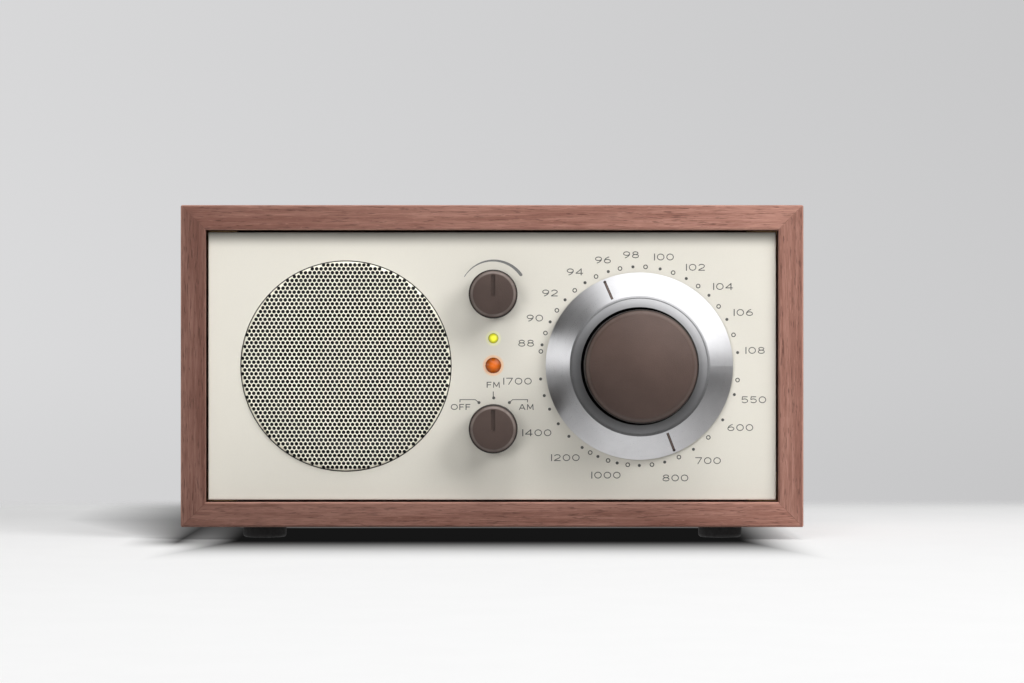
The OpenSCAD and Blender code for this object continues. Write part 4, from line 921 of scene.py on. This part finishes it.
class RADIO_OT_grille(Maker, bpy.types.Operator):
    """Perforated grille with a rolled edge, over the speaker"""

    bl_idname = "radio.grille"
    bl_label = "Grille"

    def execute(self, context):
        look = look_of(context, "grille")
        low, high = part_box("speaker_grille")
        radius, deep = (high.x - low.x) / 2, high.y - low.y
        clear()
        bpy.ops.mesh.primitive_cylinder_add(
            vertices=160, radius=radius, depth=deep, end_fill_type="NGON",
            location=(GRILLE.x, low.y + deep / 2, GRILLE.z), rotation=(math.radians(90), 0, 0),
        )
        dish = settle(named("grille"))
        edit(dish)
        pick(dish.data.polygons, lambda face: face.normal.y > 0.9)
        bpy.ops.mesh.delete(type="FACE")
        bpy.ops.object.mode_set(mode="OBJECT")
        edit(dish, "EDGE")
        pick_front_edges(dish, low.y + 1e-6)
        bpy.ops.mesh.bevel(offset=look.edge, segments=7, profile=0.5)
        bpy.ops.object.mode_set(mode="OBJECT")
        modify(dish, "SOLIDIFY", thickness=look.thickness, offset=-1.0, use_even_offset=True)

        reach = radius - look.edge * 0.3
        across = math.ceil(reach / look.pitch) + 1
        rows = math.ceil(reach / look.row / 2) + 1
        clear()
        bpy.ops.mesh.primitive_cylinder_add(
            vertices=12, radius=look.hole / 2, depth=3 * deep, end_fill_type="NGON",
            location=(GRILLE.x - across * look.pitch, low.y, GRILLE.z - 2 * rows * look.row),
            rotation=(math.radians(90), 0, 0),
        )
        punch = settle(named("punch"))
        modify(punch, "ARRAY", count=2, use_relative_offset=False, use_constant_offset=True,
               constant_offset_displace=(look.pitch / 2, 0, look.row))
        modify(punch, "ARRAY", count=2 * across + 1, use_relative_offset=False,
               use_constant_offset=True, constant_offset_displace=(look.pitch, 0, 0))
        modify(punch, "ARRAY", count=2 * rows + 1, use_relative_offset=False,
               use_constant_offset=True, constant_offset_displace=(0, 0, 2 * look.row))
        edit(punch, "VERT")
        keep = reach + look.hole / 2
        pick(punch.data.vertices,
             lambda v: math.hypot(v.co.x - GRILLE.x, v.co.z - GRILLE.z) > keep)
        bpy.ops.mesh.select_linked()
        bpy.ops.mesh.delete(type="VERT")
        bpy.ops.object.mode_set(mode="OBJECT")
        modify(dish, "BOOLEAN", operation="DIFFERENCE", object=punch, solver="MANIFOLD")
        bpy.data.objects.remove(punch)
        only(dish)
        bpy.ops.object.shade_smooth_by_angle(angle=math.radians(32))
        if len(dish.data.polygons) < 5000:
            raise RuntimeError("the grille lost its holes")
        dressed(dish, painted("grille_paint", look.sheet, 0.38, 3200), "cabinet")
        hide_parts("speaker_grille")
        return {"FINISHED"}


class RADIO_OT_suspension(Maker, bpy.types.Operator):
    """Surround and spider of the speaker, in sectors between its frame and its cone"""

    bl_idname = "radio.suspension"
    bl_label = "Speaker suspension"

    SECTORS = 12
    SLIT = 0.0006  # angle left open between two sectors, in radians
    WAVES, WAVE_STEPS = 6, 8  # the spider's waves, and the steps in each
    SWELL = 4 * MM  # how far from its neck the waves reach their full height
    MIDDLE = 0.6 * MM  # from the spider's front to the middle of its waves
    STEP_FRONT, STEP_BACK = 0.1 * MM, 0.3 * MM  # from the last wave to the step of its flange
    GLUED, HELD = 0.7 * MM, 21.5 * MM  # width glued to the coil, radius where the frame holds it
    ROLL_MOVES, ROLL_HOLDS = 0.4 * MM, 0.6 * MM  # past the roll's inner edge, and past its crown

    def execute(self, context):
        look = look_of(context, "speaker")
        low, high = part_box("spider")
        rim = radius_of("spider")
        inner = radius_of("voice_coil") - look.neck
        wall = rim - look.flange
        middle_line = low.y + self.MIDDLE
        front, back = [], []
        steps = self.WAVES * self.WAVE_STEPS
        for k in range(steps + 1):
            out = inner + (wall - inner) * k / steps
            swing = look.wave * min(1.0, 0.1 + (out - inner) / self.SWELL)
            y = middle_line + swing * math.sin(math.radians(360 * k / self.WAVE_STEPS))
            front.append((out, y))
            if out < wall - self.STEP_BACK:
                back.append((out, y + look.skin))
        flange = high.y - look.skin
        step = wall + self.STEP_FRONT
        outline = front + [
            (step, middle_line), (step, flange), (rim, flange),
            (rim, high.y), (wall - self.STEP_BACK, high.y),
        ] + back[::-1]
        self.sectors("spider", outline, inner + self.GLUED, self.HELD,
                     woven("spider_cloth", look.cloth), "spider_cloth")
        low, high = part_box("speaker_surround")
        rim = radius_of("speaker_surround")
        lip = high.y - look.skin
        crown = rim - look.seat - look.roll
        over = bow(crown, lip, look.roll, -look.roll, 180, 0, 16)
        under = bow(crown, lip, look.roll - look.skin, look.skin - look.roll, 0, 180, 16)
        edge = crown - look.roll - look.lip
        outline = [(edge, lip)] + over + [
            (rim, lip), (rim, high.y), (under[0][0], high.y),
        ] + under + [(under[-1][0], high.y), (edge, high.y)]
        self.sectors("speaker_surround", outline,
                     crown - look.roll + self.ROLL_MOVES, crown + self.ROLL_HOLDS,
                     rubbery("surround_rubber", look.rubber, 0.6), "surround_rubber")
        return {"FINISHED"}

    def sectors(self, node, outline, moving, fixed, paint, slot):
        """Spins an outline of (radius, depth) points into sectors round the node's axis."""
        centre = middle(node)
        step = 2 * math.pi / self.SECTORS
        clear()
        bpy.ops.mesh.primitive_circle_add(vertices=len(outline), fill_type="NGON")
        first = named(node + "_sector")
        for vertex, (out, y) in zip(first.data.vertices, outline):
            vertex.co = (out, y, 0)
        only(first)
        bpy.ops.object.mode_set(mode="EDIT")
        bpy.ops.mesh.select_all(action="SELECT")
        bpy.ops.mesh.spin(steps=6, angle=step - self.SLIT, center=(0, 0, 0), axis=(0, 1, 0))
        bpy.ops.mesh.select_all(action="SELECT")
        bpy.ops.mesh.normals_make_consistent(inside=False)
        bpy.ops.object.mode_set(mode="OBJECT")
        bpy.ops.object.shade_smooth_by_angle(angle=math.radians(40))
        for k in range(self.SECTORS):
            only(first)
            bpy.ops.object.duplicate(linked=False)
            sector = named(f"{node}_{k + 1}")
            sector.rotation_euler = (0, k * step, 0)
            sector.location = (centre.x, 0, centre.z)
            settle(sector)
            places = [vertex.co for vertex in sector.data.vertices]
            way = sum(places, Vector()) / len(places) - centre
            way = Vector((way.x, 0, way.z)).normalized()
            sector.data.materials.clear()
            sector.data.materials.append(paint)
            tuple(centre + way * moving)
            tuple(centre + way * fixed)
            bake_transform(sector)
            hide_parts(node)
        bpy.data.objects.remove(first)


class RADIO_OT_scale(Maker, bpy.types.Operator):
    """Dots and open circles of the tuning scale"""

    bl_idname = "radio.scale"
    bl_label = "Scale marks"

    def execute(self, context):
        look = look_of(context, "front")
        filled = [d for k, d in enumerate(FM_MARKS) if k % 2 == 0]
        filled += [d for mark, d in AM_MARKS.items() if mark not in OPEN_AM]
        hollow = [d for k, d in enumerate(FM_MARKS) if k % 2] + list(BAND_ENDS)
        hollow += [AM_MARKS[mark] for mark in OPEN_AM]
        paint = context.scene.radio_ink_paint
        dot = settle(round_mark(look))
        edit(dot, "EDGE")
        pick_front_edges(dot, 0)
        bpy.ops.mesh.bevel(offset=look.ink_rise * 0.6, segments=2)
        bpy.ops.object.mode_set(mode="OBJECT")
        dots = copies(dot, "scale_dots", [on_scale(d, look.scale_radius) for d in filled])
        dressed(dots, paint, "cabinet")
        clear()
        bpy.ops.mesh.primitive_torus_add(
            major_segments=24, minor_segments=6, major_radius=look.ring / 2,
            minor_radius=look.stroke / 2, rotation=(math.radians(90), 0, 0),
        )
        ring = named("ring")
        ring.scale = (1, 1, 2 * look.ink_rise / look.stroke)
        settle(ring)
        rings = copies(ring, "scale_circles", [on_scale(d, look.scale_radius) for d in hollow])
        dressed(rings, paint, "cabinet")
        return {"FINISHED"}


class RADIO_OT_print(Maker, bpy.types.Operator):
    """Figures of the scale, the volume arc, and the words round the mode knob"""

    bl_idname = "radio.print"
    bl_label = "Figures and labels"

    def execute(self, context):
        look = look_of(context, "front")
        paint = context.scene.radio_ink_paint
        for text, (x, z) in FIGURES.items():
            strokes = lettering(text, (DIAL.x + x * MM, DIAL.z + z * MM), look.figure)
            printed("figure_" + text, strokes, look.stroke, look, paint)
        for text, place in WORDS.items():
            strokes = lettering(text, by_mode(*place), look.letter)
            printed("label_" + text.lower(), strokes, look.stroke, look, paint)
        leaders = [[by_mode(*place) for place in line] for line in LEADERS]
        printed("label_leaders", leaders, look.stroke * 0.9, look, paint)
        places = [by_mode(*place) for place in WORD_DOTS]
        dots = copies(round_mark(look), "label_dots", [(x, FACE, z) for x, z in places])
        dressed(dots, paint, "cabinet")
        arc = []
        for k in range(ARC_STEPS + 1):
            turn = math.radians(ARC_START + ARC_TURN * k / ARC_STEPS)
            wide = ARC_THIN + (1 - ARC_THIN) * k / ARC_STEPS
            arc.append((
                VOLUME.x + look.arc_radius * math.sin(turn),
                VOLUME.z + look.arc_radius * math.cos(turn), wide,
            ))
        # Its thick end is round
        x, z, _ = arc[-1]
        along = (arc[-1][0] - arc[-2][0], arc[-1][1] - arc[-2][1])
        span = math.hypot(*along)
        for k in range(1, 6):
            turn = math.radians(18 * k - 5)
            reach = look.arc_width / 2 * math.sin(turn)
            arc.append((
                x + along[0] / span * reach, z + along[1] / span * reach,
                max(0.05, math.cos(turn)),
            ))
        printed("volume_arc", [arc], look.arc_width, look, ink("arc_ink", look.ink_pale))
        return {"FINISHED"}


class RADIO_OT_pointers(Maker, bpy.types.Operator):
    """Two filled pointer lines on the dial ring"""

    bl_idname = "radio.pointers"
    bl_label = "Pointers"

    RISE, FILL_RISE = 0.12 * MM, 0.2 * MM  # thickness of a line and of its fill, half sunk

    def execute(self, context):
        look = look_of(context, "knobs")
        rim = Vector((radius_of("dial_ring"), FACE - look.rim_stand))
        ridge = Vector((look.ridge, FACE - look.ridge_stand))
        slope = (ridge - rim).normalized()
        inner = rim + slope * ((rim.x - look.pointer_inner) / -slope.x)
        outer = rim + slope * ((rim.x - look.pointer_outer) / -slope.x)
        fill = painted("pointer_fill", look.pointer, 0.5, 5000, 0.01 * MM)
        sides = painted("pointer_sides", look.pointer_edge, 0.5, 5000, 0.01 * MM)
        tilt = math.atan2(slope.y, -slope.x)
        centre = (inner + outer) / 2
        for number, extra in ((1, 0), (2, 180)):
            made = []
            for name, width, rise, paint in (
                (f"pointer_{number}", look.pointer_width, self.RISE, sides),
                (f"pointer_fill_{number}", look.pointer_width * 0.5, self.FILL_RISE, fill),
            ):
                clear()
                bpy.ops.mesh.primitive_cube_add(size=1)
                line = named(name)
                line.scale = (width, rise, (inner - outer).length)
                line.rotation_euler = (tilt, 0, 0)
                line.location = (0, centre.y, centre.x)
                settle(line)
                edit(line, "EDGE")
                pick(line.data.edges, lambda edge: True)
                bpy.ops.mesh.bevel(offset=0.03 * MM, segments=2)
                bpy.ops.object.mode_set(mode="OBJECT")
                made.append((line, paint))
            clear()
            bpy.ops.mesh.primitive_cylinder_add(
                vertices=24, radius=look.pointer_width * 0.6, depth=2 * self.RISE
            )
            tip = named(f"pointer_tip_{number}")
            tip.rotation_euler = (math.radians(90) + tilt, 0, 0)
            tip.location = (0, outer.y, outer.x)
            settle(tip)
            made.append((tip, sides))
            for piece, paint in made:
                piece.rotation_euler = (0, math.radians(extra) - look.pointer_turn, 0)
                settle(piece)
                piece.location = (DIAL.x, 0, DIAL.z)
                settle(piece)
                dressed(piece, paint, "dial")
        return {"FINISHED"}


class RADIO_OT_finishes(Maker, bpy.types.Operator):
    """Finishes of the cabinet, the front, the back and the works inside"""

    bl_idname = "radio.finishes"
    bl_label = "Finishes"

    def execute(self, context):
        cabinet, front, grille, knobs = (
            look_of(context, name) for name in ("cabinet", "front", "grille", "knobs")
        )
        black = linear(30, 30, 31)
        seat = (GRILLE, radius_of("speaker_grille") + grille.seat)
        power, tuned = ((middle(lamp), radius_of(lamp)) for lamp in ("power_lamp", "tuning_lamp"))
        lit = ((*power, knobs.power_spill), (*tuned, knobs.tuned_spill))
        finishes = [
            # The left and right shares are partly each board's own tone and partly painted shade,
            # darker to the left
            (walnut("walnut_top", "x", cabinet, 2.1, 0.76, 1.16), ["cabinet_top"]),
            (walnut("walnut_bottom", "x", cabinet, 13.7, 0.62, 1.2), ["cabinet_bottom"]),
            (walnut("walnut_left", "z", cabinet, 5.3, 0.61, 0.61), ["cabinet_left_side"]),
            (walnut("walnut_right", "z", cabinet, 9.6, 1.02, 1.02), ["cabinet_right_side"]),
            (soft_wood("block_wood", linear(196, 160, 118)), ["corner_blocks"]),
            (rubbery("foot_rubber", cabinet.rubber), ["feet"]),
            (painted("panel_paint", front.panel, 0.4, painted_shade_zone=seat, lip=CASE_HIGH.z - BOARD, lit=lit),
             ["front_panel"]),
            (moulded("rear_plastic", black, 0.55, 1100), ["rear_panel"]),
            (moulded("port_plastic", linear(26, 26, 27), 0.5), ["bass_port"]),
            (moulded("housing_plastic", linear(38, 38, 40), 0.5), ["gear_housing", "gear_cover"]),
            (moulded("socket_plastic", linear(22, 22, 23), 0.4, 2600),
             ["audio_jacks", "dc_jack", "mains_inlet", "antenna_slider"]),
            (metal("screw_steel", linear(70, 70, 73), 0.35),
             ["panel_screws", "speaker_screws", "gear_screws"]),
            (metal("chassis_steel", linear(176, 176, 178), 0.3), ["chassis_screws"]),
            (soft_touch("knob_skin", knobs.small, knobs.rim_highlight, [VOLUME, MODE],
                        radius_of("volume_knob"), knobs.small_rise, 0.75),
             ["volume_knob", "mode_knob"]),
            (soft_touch("tuning_skin", knobs.tuning, knobs.rim_highlight, [DIAL],
                        radius_of("tuning_knob"), knobs.tuning_rise, 0.25),
             ["tuning_knob"]),
            (blasted("ring_metal", knobs.metal, DIAL, knobs.dish,
                     radius_of("tuning_knob") + knobs.gap),
             ["dial_ring"]),
            (lens("power_lens", knobs.power, 0.48, *power), ["power_lamp"]),
            (lens("tuned_lens", knobs.tuned, 0.72, *tuned), ["tuning_lamp"]),
            (turned("shaft_metal", linear(200, 200, 203), DIAL, 0.25),
             ["volume_shaft", "mode_shaft", "input_shaft"]),
            (metal("nut_nickel", linear(196, 192, 184), 0.28), ["control_nuts", "antenna_socket"]),
            (fibrous("switch_phenolic", linear(128, 92, 60), 0.6), ["mode_switch"]),
            (metal("pot_can", linear(168, 168, 170), 0.34), ["volume_potentiometer"]),
            (fibrous("gasket_foam", linear(44, 44, 46), 0.95, 1500), ["speaker_gasket"]),
            (painted("basket_paint", linear(40, 40, 42), 0.45, 1800), ["speaker_basket"]),
            (fibrous("cone_paper", linear(30, 29, 28), 0.9), ["speaker_cone"]),
            (fibrous("cap_paper", linear(28, 27, 26), 0.8, 1400), ["dust_cap"]),
            (wound("copper_wire", linear(196, 118, 70), 0.4 * MM, "Y", 1.0, 0.3), ["voice_coil"]),
            (wound("coil_wire", linear(186, 104, 62), 0.5 * MM, "X", 1.0, 0.32), ["antenna_coil"]),
            (metal("plated_steel", linear(186, 186, 190), 0.3),
             ["magnet_front_plate", "magnet_yoke"]),
            (fibrous("ferrite", linear(58, 57, 58), 0.55, 1600), ["magnet_ring", "ferrite_rod"]),
            (metal("gear_brass", linear(206, 176, 112), 0.28), ["carrier_front", "carrier_rear"]),
            (moulded("gear_nylon", linear(228, 224, 208), 0.4, 2600),
             ["planet_gear_1", "planet_gear_2", "planet_gear_3", "board_standoffs", "rod_clips"]),
            (moulded("capacitor_clear", linear(190, 196, 200), 0.2, 1800), ["tuning_capacitor"]),
            (circuit("board_green", linear(40, 92, 58)), ["circuit_board"]),
            (metal("can_tin", linear(190, 192, 194), 0.26), ["if_cans"]),
            (moulded("sleeve_blue", linear(40, 44, 78), 0.35, 2200), ["board_capacitors"]),
            (wound("lamination", linear(112, 112, 116), 0.7 * MM, "Y", 1.0, 0.42),
             ["transformer_core"]),
            (wound("winding_tape", linear(196, 160, 70), 4 * MM, "Z", 0.0, 0.35),
             ["transformer_winding"]),
            (moulded("switch_metal", linear(120, 120, 124), 0.4), ["antenna_switch"]),
        ]
        left = set(frame["nodes"]) - {"speaker_grille", "speaker_surround", "spider"}
        for paint, nodes in finishes:
            for node in nodes:
                piece = frame["nodes"][node]
                for slot in piece.material_slots:
                    slot.material = paint
                if not piece.material_slots:
                    piece.data.materials.append(paint)
                left.discard(node)
        if left:
            raise RuntimeError(f"these nodes have no finish: {sorted(left)}")
        return {"FINISHED"}


class RADIO_OT_stage(Maker, bpy.types.Operator):
    """Pale floor, even background, soft studio lamps and the camera"""

    bl_idname = "radio.stage"
    bl_label = "Stage"

    def execute(self, context):
        look = look_of(context, "stage")
        scene = context.scene
        clear()
        bpy.ops.mesh.primitive_plane_add(
            size=FLOOR_SIZE, location=(0, FLOOR_END - FLOOR_SIZE / 2, 0)
        )
        floor = settle(named("floor"))
        floor.data.materials.append(self.floor_paint(look))
        self.world(scene, look)
        aim = Vector((0, FRONT, 60 * MM))
        for name, (size, place) in LAMPS.items():
            self.lamp(name, getattr(look, name), size, Vector(place), aim)
        bpy.ops.object.camera_add(
            location=(look.eye_across, FRONT - look.eye_away, look.eye_up),
            rotation=(math.radians(90), 0, 0),
        )
        camera = bpy.context.object
        camera.data.sensor_width = 36
        camera.data.lens = camera.data.sensor_width * look.eye_away / look.view_width
        camera.data.clip_start, camera.data.clip_end = 0.01, 50
        scene.camera = camera
        scene.view_settings.view_transform = "Standard"
        return {"FINISHED"}

    def lamp(self, name, power, size, place, aim):
        bpy.ops.object.light_add(type="AREA", location=place)
        lamp = bpy.context.object
        lamp.name = name
        lamp.data.energy = power
        lamp.data.size = size
        lamp.rotation_euler = (aim - place).to_track_quat("-Z", "Y").to_euler()
        lamp.visible_glossy = False

    def floor_paint(self, look):
        """Pale floor that keeps shadows and has the case's shadow painted on it too, greyer towards
        the back, where it fades to the wall.
        """
        paint = Paint("floor_paint")
        eye, mirror = paint.ray("Camera"), paint.ray("Glossy")
        x, y = paint.axis("X"), paint.axis("Y")
        # Painted shadow: the floor is darkest under the case and close in front of it
        ahead = paint.math("MAXIMUM", FRONT - y, 0.0)
        open_air = paint.spread(ahead, 6 * MM, 117 * MM)
        past = paint.math("MAXIMUM", x - (CASE_HIGH.x - 6 * MM), (CASE_LOW.x + 4 * MM) - x)
        behind = y - (CASE_HIGH.y - 20 * MM)
        aside = paint.spread(paint.math("MAXIMUM", past, behind), -16 * MM, 8 * MM)
        painted_shade_zone = paint.math("MAXIMUM", open_air, aside)
        depth = paint.spread(y, 40 * MM, 250 * MM, 1.0, 0.78, smooth=False)
        # Painted shadow of the case on its side away from the key lamp
        reach = paint.spread(y, -22 * MM, 90 * MM, 18 * MM, 58 * MM, smooth=False)
        shade = paint.spread(abs(x - CASE_LOW.x) / reach, 0.0, 1.0, 0.06, 1.0, smooth=False)
        shade = 1.0 - (1.0 - shade) * paint.spread(y, FRONT - 55 * MM, FRONT - 10 * MM)
        skin = paint.spread(paint.noise(40, 2, 0.5), 0.3, 0.7, 0.985, 1.0)
        tone = painted_shade_zone * depth * shade * skin
        seen = paint.mix(eye, (look.bounce,) * 3, (look.floor,) * 3)
        matt = paint.shader("ShaderNodeBsdfDiffuse", {"Color": paint.mix(tone, (0, 0, 0), seen)})
        # Painted sheen: for mirrored rays the floor glows, brightest close in front of the case,
        # under the dial, for the ring to mirror
        sheen = paint.spread(abs(x - 48 * MM), 0.0, 90 * MM, 0.8, 0.36)
        sheen = sheen + paint.spread(x, -60 * MM, -20 * MM, 0.24, 0.0)
        sheen = sheen * paint.spread(y, -115 * MM, -80 * MM, 0.02, 1.0)
        glow = paint.shader("ShaderNodeEmission", {
            "Color": paint.mix(mirror, (1, 1, 1), sheen), "Strength": 1.0})
        part = paint.shader("ShaderNodeMixShader", {
            0: eye * (tone * 0.5 + 0.008) + mirror * 0.95, 1: matt, 2: glow})
        fade = paint.spread(y, 170 * MM, 270 * MM)
        return paint.show(paint.shader("ShaderNodeMixShader", {
            0: fade, 1: part, 2: paint.shader("ShaderNodeBsdfTransparent")}))

    def world(self, scene, look):
        """Even light all round, a grey wall for the camera, and soft panels that metal mirrors."""
        sky = Paint("studio", bpy.data.worlds, "ShaderNodeOutputWorld", "Generated")
        x, z = sky.axis("X"), sky.axis("Z")
        wall = sky.mix(sky.spread(x, -0.145, 0.145, smooth=False), look.wall_left, look.wall_right)
        height = sky.spread(z, -0.045, 0.0, 0.95, 1.0) * sky.spread(z, 0.01, 0.09, 1.0, 0.975)
        wall = sky.mix(1.0, wall, height, "MULTIPLY")
        room = ROOM_LEVEL
        for direction, edge, heart, level in ROOM_PANELS:
            room = room + sky.spread(sky.towards(direction), edge, heart, 0.0, level)
        lit = sky.shader("ShaderNodeBackground", {"Color": (1, 1, 1), "Strength": look.sky})
        mirrored = sky.shader("ShaderNodeBackground", {"Color": room, "Strength": 1.0})
        seen = sky.shader("ShaderNodeBackground", {"Color": wall, "Strength": 1.0})
        lit = sky.shader("ShaderNodeMixShader", {0: sky.ray("Glossy"), 1: lit, 2: mirrored})
        scene.world = sky.show(sky.shader(
            "ShaderNodeMixShader", {0: sky.ray("Camera"), 1: lit, 2: seen}))


class RADIO_PT_panel(bpy.types.Panel):
    """Sizes and colours of the radio's pieces, and a button that makes each group"""

    bl_idname = "RADIO_PT_panel"
    bl_label = "Table radio"
    bl_space_type = "VIEW_3D"
    bl_region_type = "UI"
    bl_category = "Radio"

    def draw(self, context):
        for name in LOOKS:
            box = self.layout.box()
            box.label(text=name.title())
            look = look_of(context, name)
            for key in look.__annotations__:
                box.prop(look, key)
        for operator in OPERATORS:
            self.layout.operator(operator.bl_idname)


LOOKS = {
    "cabinet": CabinetLook, "front": FrontLook, "grille": GrilleLook, "speaker": SpeakerLook,
    "knobs": KnobLook, "stage": StageLook,
}
OPERATORS = [
    RADIO_OT_finishes, RADIO_OT_grille, RADIO_OT_suspension, RADIO_OT_scale, RADIO_OT_print,
    RADIO_OT_pointers, RADIO_OT_stage,
]


def register():
    for made in [*LOOKS.values(), *OPERATORS, RADIO_PT_panel]:
        bpy.utils.register_class(made)
    for name, group in LOOKS.items():
        setattr(bpy.types.Scene, "radio_" + name, bpy.props.PointerProperty(type=group))
    bpy.types.Scene.radio_ink_paint = bpy.props.PointerProperty(type=bpy.types.Material)


def unregister():
    del bpy.types.Scene.radio_ink_paint
    for name in LOOKS:
        delattr(bpy.types.Scene, "radio_" + name)
    for made in reversed([*LOOKS.values(), *OPERATORS, RADIO_PT_panel]):
        bpy.utils.unregister_class(made)


def main():
    register()
    scene = bpy.context.scene
    scene.radio_ink_paint = ink("print_ink", scene.radio_front.ink)
    bpy.ops.radio.finishes()
    bpy.ops.radio.grille()
    bpy.ops.radio.suspension()
    bpy.ops.radio.scale()
    bpy.ops.radio.print()
    bpy.ops.radio.pointers()
    bpy.ops.radio.stage()


if __name__ == "__main__":
    main()
